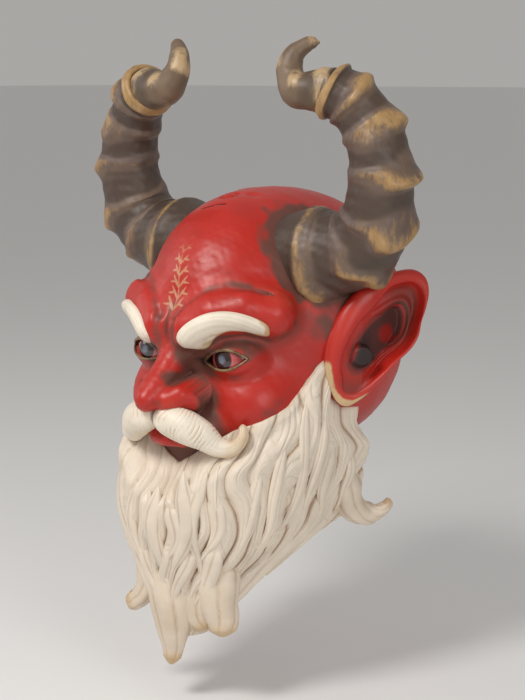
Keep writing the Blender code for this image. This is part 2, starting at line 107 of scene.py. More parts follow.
def smooth_line(points, count):
    """count rows along a smooth curve through the points, however many columns they have."""
    points = np.array(points, float)
    ends = np.vstack([2 * points[0] - points[1], points, 2 * points[-1] - points[-2]])
    steps = np.linspace(0, len(points) - 1, count)
    i = np.minimum(steps.astype(int), len(points) - 2)
    t = (steps - i)[:, None]
    a, b, c, d = ends[i], ends[i + 1], ends[i + 2], ends[i + 3]
    return 0.5 * (2 * b + (c - a) * t + (2 * a - 5 * b + 4 * c - d) * t**2 + (3 * b - a - 3 * c + d) * t**3)


def grid_faces(rows, columns):
    """Four-sided faces between the points of a grid whose last column joins the first."""
    i, j = np.meshgrid(np.arange(rows - 1), np.arange(columns), indexing="ij")
    k = (j + 1) % columns
    faces = np.stack([i * columns + j, i * columns + k, (i + 1) * columns + k, (i + 1) * columns + j], -1)
    return faces.reshape(-1, 4).tolist()


def tube_faces(rows, columns):
    """The faces of a tube's wall, and one face to close each end."""
    last = rows * columns
    return [*grid_faces(rows, columns), list(range(columns)), list(range(last - columns, last))]


def waves(points, size, seed, count=7):
    """A smooth random value from about -1 to 1 at each point, with hills about size millimetres across."""
    random = np.random.default_rng(seed)
    total = np.zeros(len(points))
    for _ in range(count):
        way = random.normal(size=3)
        way *= 2 * math.pi / (size * 2 * np.linalg.norm(way) * random.uniform(0.7, 1.4))
        total += np.sin(points @ way + random.uniform(0, 2 * math.pi))
    return total / math.sqrt(count)


def step(low, high, value):
    """0 below low, 1 above high, and smooth between."""
    t = np.clip((value - low) / (high - low), 0, 1)
    return t * t * (3 - 2 * t)


def solid_from(points, faces, name):
    """An object from points in millimetres, with every face looking outwards."""
    mesh = bpy.data.meshes.new(name)
    mesh.from_pydata(to_scene(points).tolist(), [], faces)
    bm = bmesh.new()
    bm.from_mesh(mesh)
    bmesh.ops.recalc_face_normals(bm, faces=bm.faces)
    bm.to_mesh(mesh)
    bm.free()
    made = bpy.data.objects.new(name, mesh)
    bpy.context.scene.collection.objects.link(made)
    return made


def build(name, points, faces, paint, **layers):
    """A painted piece. Each layer is a number per point, which its paint reads by name."""
    made = solid_from(points, faces, name)
    for layer, values in layers.items():
        column = made.data.attributes.new(layer, "FLOAT", "POINT")
        column.data.foreach_set("value", np.asarray(values, np.float32))
    made.data.shade_smooth()
    made.data.materials.append(paint)
    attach(made, BODY)
    return made


def build_pair(prefix, node, shape, paint):
    """The left piece, and the right as its mirror image. Each stands for the CAD node of its side."""
    for word, side in SIDES:
        points, faces, layers = shape(side)
        made = build(f"{prefix}_{word}", points, faces, paint, **layers)
        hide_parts(f"{node}_{word}")
    print("one", node, "spans", (points.max(0) - points.min(0)).round(1), "mm")


class Parts:
    """Collects shapes that are carved in one block, so that they become one piece."""

    def __init__(self):
        self.points, self.faces, self.layers, self.count = [], [], {}, 0

    def add(self, points, faces, **layers):
        self.faces += [[v + self.count for v in face] for face in faces]
        self.points.append(points)
        self.count += len(points)
        for layer, values in layers.items():
            self.layers.setdefault(layer, []).append(np.broadcast_to(values, len(points)))

    def build(self, name, paint):
        joined = {layer: np.concatenate(values) for layer, values in self.layers.items()}
        return build(name, np.vstack(self.points), self.faces, paint, **joined)


# %% [markdown]
# ## Writing paint as sums
# A painted surface is layers: a base colour, wax that stays in the creases, gold that catches on the ridges. Each
# is a mask between 0 and 1. Wrapping a shader socket in a class with +, - and * lets those masks be written as
# ordinary arithmetic, with the Math and Mix nodes made behind it.

# %% The socket class


class Value:
    """A shader socket that can be used in sums."""

    def __init__(self, shop, socket):
        self.shop, self.socket = shop, socket

    def sum(self, operation, other, turned=False):
        a, b = (other, self) if turned else (self, other)
        return self.shop.node("ShaderNodeMath", {"operation": operation}, {0: a, 1: b})

    def __add__(self, other):
        return self.sum("ADD", other)

    __radd__ = __add__

    def __sub__(self, other):
        return self.sum("SUBTRACT", other)

    def __rsub__(self, other):
        return self.sum("SUBTRACT", other, True)

    def __mul__(self, other):
        return self.sum("MULTIPLY", other)

    __rmul__ = __mul__

    def ramp(self, low, high):
        """0 below low and 1 above high, smoothly."""
        settings = {"interpolation_type": "SMOOTHSTEP"}
        return self.shop.node("ShaderNodeMapRange", settings, {"Value": self, "From Min": low, "From Max": high})


class Shop:
    """A new material, and the nodes that are added to it."""

    def __init__(self, name):
        self.material = bpy.data.materials.new(name)
        self.material.use_nodes = True
        self.tree = self.material.node_tree
        self.shader = self.tree.nodes["Principled BSDF"]

    def node(self, kind, settings=None, sockets=None, out=0):
        made = self.tree.nodes.new(kind)
        for key, value in (settings or {}).items():
            setattr(made, key, value)
        for key, value in (sockets or {}).items():
            self.feed(made.inputs[key], value)
        return Value(self, made.outputs[out])

    def feed(self, socket, value):
        if isinstance(value, Value):
            self.tree.links.new(value.socket, socket)
        elif hasattr(socket.default_value, "__len__") and len(socket.default_value) == 4:
            socket.default_value = (*value, 1.0)
        else:
            socket.default_value = value

    def layer(self, name):
        return self.node("ShaderNodeAttribute", {"attribute_name": name}, out="Fac")

    def place(self):
        return self.node("ShaderNodeTexCoord", out="Object")

    def noise(self, size, detail=4.0, rough=0.55, stretch=None, twist=0.0):
        """Cloudy noise with blotches about size millimetres across."""
        spot = self.place()
        if stretch:
            spot = self.node("ShaderNodeVectorMath", {"operation": "MULTIPLY"}, {0: spot, 1: stretch})
        sockets = {"Vector": spot, "Scale": 1 / (size * MM), "Detail": detail, "Roughness": rough,
                   "Distortion": twist}
        return self.node("ShaderNodeTexNoise", None, sockets, out="Fac")

    def mix(self, share, first, second):
        """The first colour where share is 0, the second where it is 1."""
        return self.node("ShaderNodeMix", {"data_type": "RGBA"}, {0: share, 6: first, 7: second}, out=2)

    def finish(self, colour, rough, bump=None, height=0.3, **fixed):
        """Connects the shader. height is the relief of the bump, in millimetres. fixed are plain numbers."""
        self.feed(self.shader.inputs["Base Color"], colour)
        self.feed(self.shader.inputs["Roughness"], rough)
        if bump is not None:
            sockets = {"Height": bump, "Strength": 1.0, "Distance": height * MM}
            self.feed(self.shader.inputs["Normal"], self.node("ShaderNodeBump", None, sockets))
        for name, value in fixed.items():
            self.feed(self.shader.inputs[name.replace("_", " ")], value)
        print("made the material", self.material.name, "with", len(self.tree.nodes), "nodes")
        return self.material


# %% [markdown]
# ## The paints
# Red enamel comes first. It isn't one red: it is thinner and pinker on the high places, partly worn by hands and
# partly a painted highlight, deeper in the hollows as painted shade, and dark brown sits in every crease and round
# every joint, partly wax and partly painted shade. That layer says where the carving is hollow, and noise breaks its
# edge, because wax is wiped off with a cloth. A second, glossy coat is the varnish.

# %% Red enamel
# The deep red is random tone and, in the hollows, painted shade. The worn red is wear and painted highlight. The wax
# brown is wax and painted shade.
RED = (0.46, 0.016, 0.008)
DEEP_RED = (0.24, 0.010, 0.009)
WEAR_AND_HIGHLIGHT_RED = (0.52, 0.050, 0.028)
WAX_AND_SHADE_BROWN = (0.085, 0.046, 0.032)
GOLD = (0.40, 0.235, 0.085)
PALE_GOLD = (0.60, 0.42, 0.22)
IVORY = (0.76, 0.66, 0.54)
TAN = (0.36, 0.22, 0.13)
OCHRE = (0.50, 0.31, 0.12)
# PITCH is also painted shade: it fills the nostrils, the eyes' inner corners and the ears' bowls.
PITCH = (0.012, 0.006, 0.006)  # nearly black, for nostrils and cracks


def red_enamel(name):
    shop = Shop(name)
    cloud = shop.noise(26, 5)
    fleck = shop.noise(3.2, 6, 0.7)
    # Pinker red on the high places: partly wear, partly a painted highlight.
    wear_and_highlight = (shop.layer("high") * (0.3 + cloud)).ramp(0.25, 1.0)
    red = shop.mix(cloud.ramp(0.32, 0.62), DEEP_RED, RED)
    # Where the carving isn't high the red stays deeper: painted shade in the hollows.
    red = shop.mix(shop.layer("high").ramp(-0.4, 0.2), red, RED)
    red = shop.mix(wear_and_highlight * 0.55, red, WEAR_AND_HIGHLIGHT_RED)
    stain = shop.noise(34, 6, 0.62, twist=0.8).ramp(0.55, 0.80) * 0.34
    # Dark brown in the creases and round the joints: partly wax, partly painted shade.
    hollow = (shop.layer("wax_and_shade") * (0.55 + cloud * 0.9) + stain + (fleck - 0.5) * 0.22).ramp(0.10, 0.90)
    colour = shop.mix(hollow * 0.88, red, WAX_AND_SHADE_BROWN)
    crack = shop.node("ShaderNodeTexVoronoi", {"feature": "DISTANCE_TO_EDGE"},
                      {"Vector": shop.place(), "Scale": 1 / (5 * MM)}, out="Distance")
    scratch = (1 - crack.ramp(0.0, 0.02)) * shop.noise(18, 3).ramp(0.58, 0.72)
    colour = shop.mix(scratch * 0.5, colour, WAX_AND_SHADE_BROWN)
    colour = shop.mix(shop.layer("lip") * 0.8, colour, RED)
    colour = shop.mix((shop.layer("sprig") * (0.25 + fleck)).ramp(0.35, 0.85) * 0.55, colour, PALE_GOLD)
    colour = shop.mix((shop.layer("gold") * (0.45 + fleck)).ramp(0.3, 0.8), colour, PALE_GOLD)
    # Nearly black: real cracks, and painted shade in the nostrils, the eyes' inner corners and the ears' bowls.
    colour = shop.mix(shop.layer("dark") * 0.96, colour, PITCH)
    rough = 0.40 + hollow * 0.22 + (fleck - 0.5) * 0.14
    relief = fleck * 0.5 + cloud * 0.5 - scratch * 0.4
    return shop.finish(colour, rough, relief, 0.22, Coat_Weight=0.16, Coat_Roughness=0.32, Specular_IOR_Level=0.4)


red_paint = red_enamel("red_enamel")

# %% [markdown]
# The horns have a matt grey-brown coat with gold dry-brushed over the ridges. A dry brush only touches what stands
# out, so gold follows the layer "ridge", broken up by noise that is stretched like brush marks. The hollows between
# the ridges, the cup, the foot and the inner side of the bend are darkened as painted shade.

# %% Horn paint
HORN_GREY = (0.150, 0.096, 0.062)
HORN_DARK = (0.050, 0.030, 0.020)
HORN_VIOLET = (0.110, 0.074, 0.060)


def horn_paint(name, base, dark, light, gold, amount):
    shop = Shop(name)
    cloud = shop.noise(22, 5, 0.6, twist=0.6)
    brush = shop.noise(4.0, 6, 0.72, (1.0, 1.0, 0.45))
    grain = shop.noise(0.9, 3, 0.6)
    colour = shop.mix(cloud.ramp(0.35, 0.65), base, light)
    # Darker where the layer says: painted shade in the hollows, the cup, the foot and the inner side.
    colour = shop.mix(shop.layer("wax_and_shade").ramp(0.1, 0.9) * 0.85, colour, dark)
    streak = shop.noise(11, 6, 0.75, (1.0, 1.0, 0.35), 1.2)
    # Gold rubbed on the ridges. On the tips it also lightens the upper side as a painted highlight.
    gold_rub_and_highlight = (shop.layer("ridge") * (0.30 + brush * 1.0) + (streak - 0.5) * 1.35).ramp(0.32, 0.80) * amount
    colour = shop.mix(gold_rub_and_highlight, colour, gold)
    colour = shop.mix((gold_rub_and_highlight * brush).ramp(0.40, 0.85) * 0.7, colour, PALE_GOLD)
    rough = 0.50 - gold_rub_and_highlight * 0.14 + (grain - 0.5) * 0.2
    return shop.finish(colour, rough, brush * 0.7 + grain * 0.3, 0.45, Coat_Weight=0.12, Coat_Roughness=0.35)


horn_colour = horn_paint("horn_paint", HORN_GREY, HORN_DARK, HORN_VIOLET, GOLD, 0.85)
TIP_BROWN = (0.125, 0.080, 0.047)
TIP_DARK = (0.045, 0.029, 0.020)
TIP_LIGHT = (0.175, 0.115, 0.070)
tip_colour = horn_paint("horn_tip_paint", TIP_BROWN, TIP_DARK, TIP_LIGHT, PALE_GOLD, 0.68)

# %% [markdown]
# The beard, moustache and brows are ivory over gesso, with a thin brown glaze that runs into every groove between
# the locks, and that brown also paints in the grooves' shade. The layer "valley" is 1 deep between two locks and 0 on
# top of one, "ochre" is for the stained ends and outlines and for painted shade under the moustache, and "dark" is
# painted shade under the moustache towards its curl.

# %% Ivory paint


def ivory_paint(name, body, stain):
    shop = Shop(name)
    cloud = shop.noise(20, 4)
    fleck = shop.noise(1.6, 5, 0.65)
    colour = shop.mix(cloud.ramp(0.35, 0.7), body, tuple(c * 0.90 for c in body))
    # The grooves darken: partly brown glaze, partly painted shade.
    glaze_and_shade = (shop.layer("valley") * (0.65 + cloud * 0.8) + (fleck - 0.5) * 0.18).ramp(0.15, 0.88)
    colour = shop.mix(glaze_and_shade * 0.88, colour, stain)
    colour = shop.mix((shop.layer("ochre") * (0.5 + cloud * 0.9)).ramp(0.12, 0.85) * 0.75, colour, OCHRE)
    # The dark layer is painted shade under the moustache.
    colour = shop.mix((shop.layer("dark") * (0.6 + fleck * 0.8)).ramp(0.2, 0.9), colour, WAX_AND_SHADE_BROWN)
    rough = 0.47 + glaze_and_shade * 0.15 + (fleck - 0.5) * 0.15
    return shop.finish(colour, rough, fleck * 0.6 + cloud * 0.4, 0.14, Coat_Weight=0.1, Coat_Roughness=0.4)


BROW_IVORY = (0.83, 0.75, 0.62)
BROW_GLAZE_AND_SHADE = (0.50, 0.33, 0.16)
beard_colour = ivory_paint("beard_paint", IVORY, TAN)
brow_colour = ivory_paint("brow_paint", BROW_IVORY, BROW_GLAZE_AND_SHADE)

# %% [markdown]
# The back isn't painted. The hollow, the rim, the batten, the eye plugs and the pegs are bare wood, pale brown with
# fine grain, and the strap, the ring and the screws are dull zinc. Grain is noise squeezed in two directions, so
# that its blotches become lines.

# %% Bare wood and zinc
PINE, PINE_DARK, PORE = (0.52, 0.34, 0.19), (0.33, 0.20, 0.105), (0.16, 0.09, 0.05)
ZINC, ZINC_DULL = (0.50, 0.51, 0.52), (0.36, 0.36, 0.37)


def bare_wood_paint():
    shop = Shop("bare_wood_finish")
    grain = shop.noise(2.2, 5, 0.6, (0.16, 1.0, 1.0), 0.8)
    pore = shop.noise(0.7, 3, 0.6, (0.10, 1.0, 1.0))
    colour = shop.mix(grain.ramp(0.3, 0.7), PINE, PINE_DARK)
    colour = shop.mix(pore.ramp(0.55, 0.75) * 0.6, colour, PORE)
    return shop.finish(colour, 0.62 + grain * 0.12, grain * 0.5 + pore * 0.5, 0.15)


def zinc_paint():
    shop = Shop("zinc_finish")
    cloud = shop.noise(7, 5, 0.6)
    scratch = shop.noise(0.8, 3, 0.6, (1.0, 1.0, 0.12))
    colour = shop.mix(cloud.ramp(0.35, 0.65), ZINC, ZINC_DULL)
    rough = 0.34 + cloud * 0.14 + scratch * 0.08
    return shop.finish(colour, rough, scratch, 0.03, Metallic=1.0)


bare_wood_finish, zinc_finish = bare_wood_paint(), zinc_paint()

# %% [markdown]
# ## The carved head
# The head is one block, so it is made as one surface. Its shape is a sum of simple solids, an ellipsoid for the
# crown, another for the forehead, bars for the brows, balls for cheeks and nose, each melted into the last with a
# soft joint. Creases are cut in with the opposite sum. A distance formula makes both easy, and the surface is then
# found by walking each point of a fine ball inwards until the distance is zero.

# %% Distances to simple solids


def ellipsoid(points, centre, radii):
    scaled = (points - np.array(centre)) / np.array(radii)
    reach = np.linalg.norm(scaled, axis=1)
    slope = np.linalg.norm(scaled / np.array(radii), axis=1)
    return reach * (reach - 1.0) / np.maximum(slope, 1e-9)


def rod(points, start, end, start_radius, end_radius):
    start, end = np.array(start, float), np.array(end, float)
    along = np.clip((points - start) @ (end - start) / ((end - start) @ (end - start)), 0, 1)
    radius = start_radius + (end_radius - start_radius) * along
    return np.linalg.norm(points - start - along[:, None] * (end - start), axis=1) - radius


def path_distance(points, path, radius=0.0):
    """Distance to a bent bar through the points of a path."""
    bars = [rod(points, a, b, radius, radius) for a, b in zip(path, path[1:], strict=False)]
    return np.min(bars, axis=0)


def melt(first, second, soft):
    """The two solids joined, with a fillet this many millimetres wide."""
    share = np.clip(0.5 + 0.5 * (second - first) / soft, 0, 1)
    return second * (1 - share) + first * share - soft * share * (1 - share)


def carve(solid, tool, soft):
    """The solid with the tool cut away, and a rounded edge to the cut."""
    return -melt(-solid, tool, soft)


# %% [markdown]
# The face is mirrored, so each solid is given for the left side only. The brows bulge over deep eyes, the cheeks
# are round, and the nose is broad with a ball at its tip. Furrows are bars carved away: an arc over each brow, two
# upright frown lines between them, and the fold from the nose round the cheek.

# %% The head's shape
EYE_CORNERS = ((17.5, -86.0, -25.5), (45.5, -76.0, -21.5))
UPPER_LID, LOWER_LID = 6.8, 5.5  # how far each lid arches from the line between the corners
BROW_ARC = ((6, -100, 4), (10, -98, 11), (20, -92, 19), (32, -85, 22), (45, -74, 20), (57, -62, 12))
FROWN = ((6.5, -108, -16), (6.5, -106, -6), (5.5, -102, 6), (8, -96, 16))
CHEEK_FOLD = ((21, -97, -38), (26, -94, -46), (27, -92, -56), (31, -90, -66), (40, -84, -76))
EYE_FOLD = ((14, -96, -20), (24, -94, -13), (36, -88, -10.5), (48, -78, -14), (55, -71, -19))
LOWER_FOLD = ((17, -92, -31), (27, -91, -36), (40, -84, -35), (49, -76, -29))


def eye_opening(points):
    """An almond, seen from the front, that is cut back to the eye's ball."""
    inner, outer = np.array(EYE_CORNERS[0]), np.array(EYE_CORNERS[1])
    along = (outer - inner) / np.linalg.norm(outer - inner)
    spot = points - (inner + outer) / 2
    x = spot @ along
    z = spot[:, 2] - x * along[2]
    half = np.linalg.norm(outer - inner) / 2
    room = np.clip(1 - (x / half) ** 2, 0, None)
    edge = np.where(z > 0, UPPER_LID, LOWER_LID)
    almond = np.maximum(np.abs(z) - edge * room, np.abs(x) - half)
    return np.maximum(almond, np.abs(points[:, 1] + 80) - 22)


def head_distance(points, opened=True):
    p = points.copy()
    p[:, 0] = np.abs(p[:, 0])
    head = ellipsoid(p, (0, 14, -12), (83, 85, 85))
    head = melt(head, ellipsoid(p, (0, -16, 8), (60, 76, 66)), 12)  # forehead
    head = melt(head, ellipsoid(p, (0, -22, -48), (60, 64, 56)), 20)
    head = melt(head, ellipsoid(p, (0, -48, -84), (42, 42, 32)), 20)  # jaw
    head = melt(head, path_distance(p, ((11, -91, -5), (26, -84, 4), (41, -74, 7), (52, -63, 4)), 13.6), 11)  # brow
    head = melt(head, ellipsoid(p, (35, -60, -52), (23, 23, 20)), 15)  # cheek
    head = melt(head, ellipsoid(p, EYE, (18.6, 18.2, 15.2)), 5)  # eyelids
    head = melt(head, rod(p, (0, -85, -14), (0, -110, -41), 9.5, 8.5), 9)  # bridge of the nose
    head = melt(head, rod(p, (0, -110, -44), (0, -118, -46.5), 10, 7.2), 6)  # tip of the nose
    head = melt(head, path_distance(p, ((9, -110, -47), (14.5, -104.5, -44), (19, -96, -47)), 7.0), 2.5)  # nose wing
    head = melt(head, ellipsoid(p, (0, -82, -66), (30, 20, 14)), 8)  # upper lip
    head = carve(head, path_distance(p, BROW_ARC, 1.0), 5)
    head = carve(head, path_distance(p, FROWN, 1.4), 5)
    head = carve(head, path_distance(p, CHEEK_FOLD, 1.6), 4)
    head = carve(head, path_distance(p, EYE_FOLD, 1.0), 4)
    head = carve(head, path_distance(p, LOWER_FOLD, 0.6), 3.5)
    head = carve(head, ellipsoid(p, (12.0, -106, -54.5), (5.5, 9, 5.0)), 2.0)  # nostril
    head = melt(head, path_distance(p, ((0, -100, -74), (11, -97.5, -73.5), (22, -90, -71)), 4.4), 2.5)  # lower lip
    head = carve(head, rod(p, (0, -101, -85), (14, -96, -85), 5, 4), 5)  # hollow under the lip
    return carve(head, eye_opening(p), 1.2) if opened else head


# %% [markdown]
# The surface is laid out like the rings and spokes of a web with its middle on the nose, so the face gets the
# finest mesh. The spokes end at the flat rim, turn in across it, and carry on as the inside of the hollow, so the
# whole head is one closed skin. How hollow a place is comes from the distance formula too: a step outwards from
# an open place gains that full distance, and a step from a crease gains less.

# %% The head's surface
WEB_MIDDLE = np.array((0.0, -10.0, -20.0))
HOLLOW_CENTRE, HOLLOW_RADII = np.array((0.0, 10.0, -16.0)), np.array((68.0, 66.0, 78.0))
SPOKES, RINGS, RIM_RINGS, HOLLOW_RINGS = 336, 300, 8, 40
BORE_RADIUS, BORE_ENDS, BORE_SPOKES = 16.0, (-60.0, -20.0), 48


def walk_to(distance, starts, ways, rounds=70, share=0.75):
    """Walks each start along its way until it reaches the surface."""
    spots = np.array(starts, float)
    for _ in range(rounds):
        spots += ways * (share * distance(spots))[:, None]
    return spots


def web(distance):
    turn = np.linspace(0, 2 * math.pi, SPOKES, endpoint=False)
    spoke = np.stack([np.cos(turn), np.zeros(SPOKES), np.sin(turn)], 1)
    edge = walk_to(distance, np.array((0, WALL_Y, WEB_MIDDLE[2])) + spoke * 140, -spoke)
    reach = np.linalg.norm(edge - np.array((0, WALL_Y, WEB_MIDDLE[2])), axis=1)
    widest = math.pi / 2 + np.arctan2(WALL_Y - WEB_MIDDLE[1], reach)
    rings = []
    for share in np.linspace(0.004, 1, RINGS) ** 1.15:
        angle = (widest * share)[:, None]
        way = np.sin(angle) * spoke + np.cos(angle) * np.array((0, -1, 0))
        rings.append(walk_to(distance, WEB_MIDDLE + way * 175, -way))
    rings[-1] = edge
    start = math.asin((WALL_Y - HOLLOW_CENTRE[1]) / HOLLOW_RADII[1])
    inside = []
    for angle in np.linspace(start, -math.pi / 2 + 0.01, HOLLOW_RINGS):
        way = spoke * math.cos(angle) + np.array((0, math.sin(angle), 0))
        inside.append(HOLLOW_CENTRE + way * HOLLOW_RADII)
    for share in np.linspace(0, 1, RIM_RINGS)[1:-1]:
        rings.append(edge * (1 - share) + inside[0] * share)
    points = np.vstack(rings + inside)
    return points, tube_faces(len(rings) + len(inside), SPOKES)


def box_tool(low, high):
    x, y, z = zip(low, high, strict=True)
    corners = [(x[i], y[j], z[k]) for i in (0, 1) for j in (0, 1) for k in (0, 1)]
    faces = [(0, 1, 3, 2), (4, 6, 7, 5), (0, 4, 5, 1), (2, 3, 7, 6), (0, 2, 6, 4), (1, 5, 7, 3)]
    return solid_from(np.array(corners, float), faces, "notch_tool")


def bore_tool(centre):
    """A round bar along Y, which bores the hole that an eye is pushed into from behind."""
    turn = np.linspace(0, 2 * math.pi, BORE_SPOKES, endpoint=False)
    ring = np.stack([np.cos(turn), np.zeros(BORE_SPOKES), np.sin(turn)], 1) * BORE_RADIUS
    points = np.vstack([ring + np.array((centre[0], y, centre[2])) for y in BORE_ENDS])
    return solid_from(points, tube_faces(2, BORE_SPOKES), "bore_tool")


points, faces = web(head_distance)
head_block = solid_from(points, faces, "head_block")
low, high = (np.array(corner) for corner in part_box("hanger_batten"))
notch = [(corner - HEAD) / MM for corner in (low - 0.3 * MM, high + 0.3 * MM)]
tools = [box_tool(notch[0], notch[1] + np.array((0, 20, 0)))]
tools += [bore_tool(EYE * (side, 1, 1)) for _, side in SIDES]
for tool in tools:
    cut = head_block.modifiers.new("cut", "BOOLEAN")
    cut.object = tool
    cut.operation = "DIFFERENCE"
    cut.solver = "EXACT"
bpy.context.view_layer.update()
cut_mesh = bpy.data.meshes.new_from_object(head_block.evaluated_get(bpy.context.evaluated_depsgraph_get()))
for tool in (*tools, head_block):
    bpy.data.objects.remove(tool)
normals = np.empty(len(cut_mesh.vertices) * 3, np.float32)
cut_mesh.vertex_normals.foreach_get("vector", normals)
normals = normals.reshape(-1, 3).astype(float)
spots = np.empty(len(cut_mesh.vertices) * 3, np.float32)
cut_mesh.vertices.foreach_get("co", spots)
spots = (spots.reshape(-1, 3).astype(float) - HEAD) / MM
print("the head has", len(spots), "points")

# %% [markdown]
# Wax is wiped on and off again, so it stays where the cloth doesn't reach, and the same dark brown is also painted
# shade:
# it goes into the creases and in broad soft patches round the horns' roots, beside the nose, and between the brow and
# the eye. Those places are given as strokes, each a bar with a soft edge, and added to what the creases hold by
# themselves.

# %% Where the wax and painted shade, the gold and the dark go on the head
HORN_LINE = ((30, -23, 31), (49, -22, 36), (67, -21, 38), (84, -20, 43.5), (97, -21, 57), (103, -24, 78),
             (102.5, -25, 99), (95.5, -27, 118), (85, -31, 131), (75, -35, 137))
# Each stroke: its path on the left half, its radius, how far its edge fades, and its strength.
# These strokes are dark brown, partly wax and partly painted shade round the eyes, nose, lip, temples and horns.
WAX_AND_SHADE_STROKES = (
    (((15, -94, -19), (18, -91, -27)), 5.0, 9.0, 0.95),
    (((20, -95, -14), (33, -90, -11), (47, -80, -14)), 1.5, 6.0, 0.75),
    (((46, -79, -20), (53, -72, -16), (60, -64, -11)), 1.0, 7.0, 0.65),
    (((18, -91, -31), (29, -90, -35), (42, -82, -34)), 0.5, 4.5, 0.55),
    (((7, -108, -34), (13, -103, -35), (20, -96, -38)), 2.0, 6.0, 0.85),
    (((22, -97, -40), (25, -93, -54), (32, -89, -66), (42, -82, -76)), 2.4, 6.0, 0.90),
    (((6, -104, -14), (6, -103, -4), (6, -100, 10)), 0.5, 5.5, 0.65),
    (((9, -100, 4), (17, -93, 13), (24, -87, 20), (33, -80, 23), (43, -73, 22)), 0.1, 4.0, 0.40),
    (((0, -96, 8), (0, -90, 30), (0, -76, 50)), 1.0, 11.0, 0.22),
    (((58, -62, -8), (66, -50, -2), (72, -38, 2)), 3.0, 12.0, 0.45),
    (((12, -104, -58), (20, -96, -60)), 2.0, 7.0, 0.80),
    (((0, -98, -87), (12, -95, -86), (22, -88, -82)), 8.0, 4.0, 1.4),
    (((56, -72, -56), (63, -58, -44), (68, -40, -30)), 1.0, 7.0, 0.55),
    (((70, -34, -6), (76, -22, 10), (78, -14, 26)), 4.0, 12.0, 0.75),
)
# Nearly black painted shade in the nostril and in the eye's inner corner.
DARK_STROKES = (
    (((12.0, -104, -54.5), (12.5, -101, -58)), 4.6, 2.0, 1.0),
    (((14.5, -88, -25.5), (17, -84, -25.5)), 1.2, 2.2, 0.9),
)


def stroke_layer(p, strokes):
    total = np.zeros(len(p))
    for path, radius, soft, strength in strokes:
        total = np.maximum(total, strength * (1 - step(0, soft, path_distance(p, path, radius))))
    return total


def hollowness(distance, points, normals, reach):
    """0 in the open, towards 1 deep in a crease."""
    return np.clip(1 - distance(points + normals * reach) / reach, 0, 1)


mirrored = np.abs(spots * (1, 0, 0)) + spots * (0, 1, 1)
outside = step(-1.0, 1.0, head_distance(spots, False) + 3.0)
# How shut in a place is: its darkening is partly wax and partly painted shade.
crease = 0.85 * hollowness(head_distance, spots, normals, 5.0) + 0.8 * hollowness(head_distance, spots, normals, 12.0)
horn_root = path_distance(mirrored, HORN_LINE[:4], 29.0)
# Painted shade round the horns' roots.
halo = 0.95 * (1 - step(0.0, 11.0, horn_root + 2.5 * waves(spots, 7, 3)))
strokes = stroke_layer(mirrored, WAX_AND_SHADE_STROKES) * (0.85 + 0.25 * waves(spots, 6, 5))
wax_and_shade = outside * np.clip(np.maximum(strokes, halo) + 0.8 * np.clip(crease - 0.12, 0, 1), 0, 1.3)
# How far a place stands out: there the red is worn pinker and carries a painted highlight.
high = np.clip(1 + head_distance(spots - normals * 6.0, False) / 6.0, 0, 1) * 2.2
lip = 1 - step(0.0, 2.0, path_distance(mirrored, ((0, -100, -73.5), (11, -97.5, -73), (20, -91.5, -71)), 4.4))
dark = stroke_layer(mirrored, DARK_STROKES)
print("wax covers", round(float((wax_and_shade > 0.5).mean() * 100)), "% of the head")

# %% [markdown]
# The forehead carries a painted sprig: a stem with pairs of small leaves, in thin pale gold. A stem is the distance
# to a wavy line up the middle of the head, seen from the front, and a leaf is a short bar at an angle to it.

# %% The painted sprig
SPRIG_LOW, SPRIG_HIGH, LEAF_PAIRS = 2.0, 56.0, 8


def flat_bar(x, z, start, end, width):
    """Distance from a bar drawn on the front of the head, that thins to a point at its end."""
    start, end = np.array(start), np.array(end)
    along = np.clip(((x - start[0]) * (end - start)[0] + (z - start[1]) * (end - start)[1])
                    / ((end - start) @ (end - start)), 0, 1)
    off_x, off_z = x - start[0] - along * (end - start)[0], z - start[1] - along * (end - start)[1]
    return np.hypot(off_x, off_z) - width * np.sin(math.pi * np.clip(along * 0.85 + 0.1, 0, 1))


def stem_x(z):
    return 1.8 * np.sin(z / 9.0)


x, z = spots[:, 0], spots[:, 2]
sprig = np.where((z > SPRIG_LOW) & (z < SPRIG_HIGH), np.abs(x - stem_x(z)) - 0.2, 9.0)
for pair in range(LEAF_PAIRS):
    foot = SPRIG_LOW + 3 + (SPRIG_HIGH - SPRIG_LOW - 6) * pair / (LEAF_PAIRS - 1)
    length = 8.5 - 0.55 * pair
    for side in (1, -1):
        root = (float(stem_x(foot)), foot)
        tip = (root[0] + side * length * 0.72, foot + length)
        sprig = np.minimum(sprig, flat_bar(x, z, root, tip, 0.62))
        barb = (root[0] + side * length * 0.95, foot + length * 0.45)
        middle = ((root[0] + tip[0]) / 2, (root[1] + tip[1]) / 2)
        sprig = np.minimum(sprig, flat_bar(x, z, middle, barb, 0.42))
sprig = (1 - step(0.0, 0.9, sprig)) * step(-40, -60, spots[:, 1]) * (1 - step(30, 62, z) * 0.75)

# %% The crown's carved ring, dimple and cracks
RING_MARK = np.array((-6.0, -36.0, 72.0))
DIMPLE = np.array((8.0, -30.0, 72.0))
CRACKS = (((-12, -54, 64), (-5, -52, 66)), ((-3, -51, 67), (3, -50, 67)))
ring_gap = np.linalg.norm(spots - RING_MARK, axis=1)
dent = 1.7 * np.exp(-((ring_gap - 6.0) / 1.7) ** 2) - 0.8 * np.exp(-(ring_gap / 3.2) ** 2)
dent += 1.6 * np.exp(-(np.linalg.norm((spots - DIMPLE) * np.array((0.6, 1, 1)), axis=1) / 3.6) ** 2)
crack = np.max([1 - step(0.0, 1.0, path_distance(spots, path, 0.25)) for path in CRACKS], axis=0)
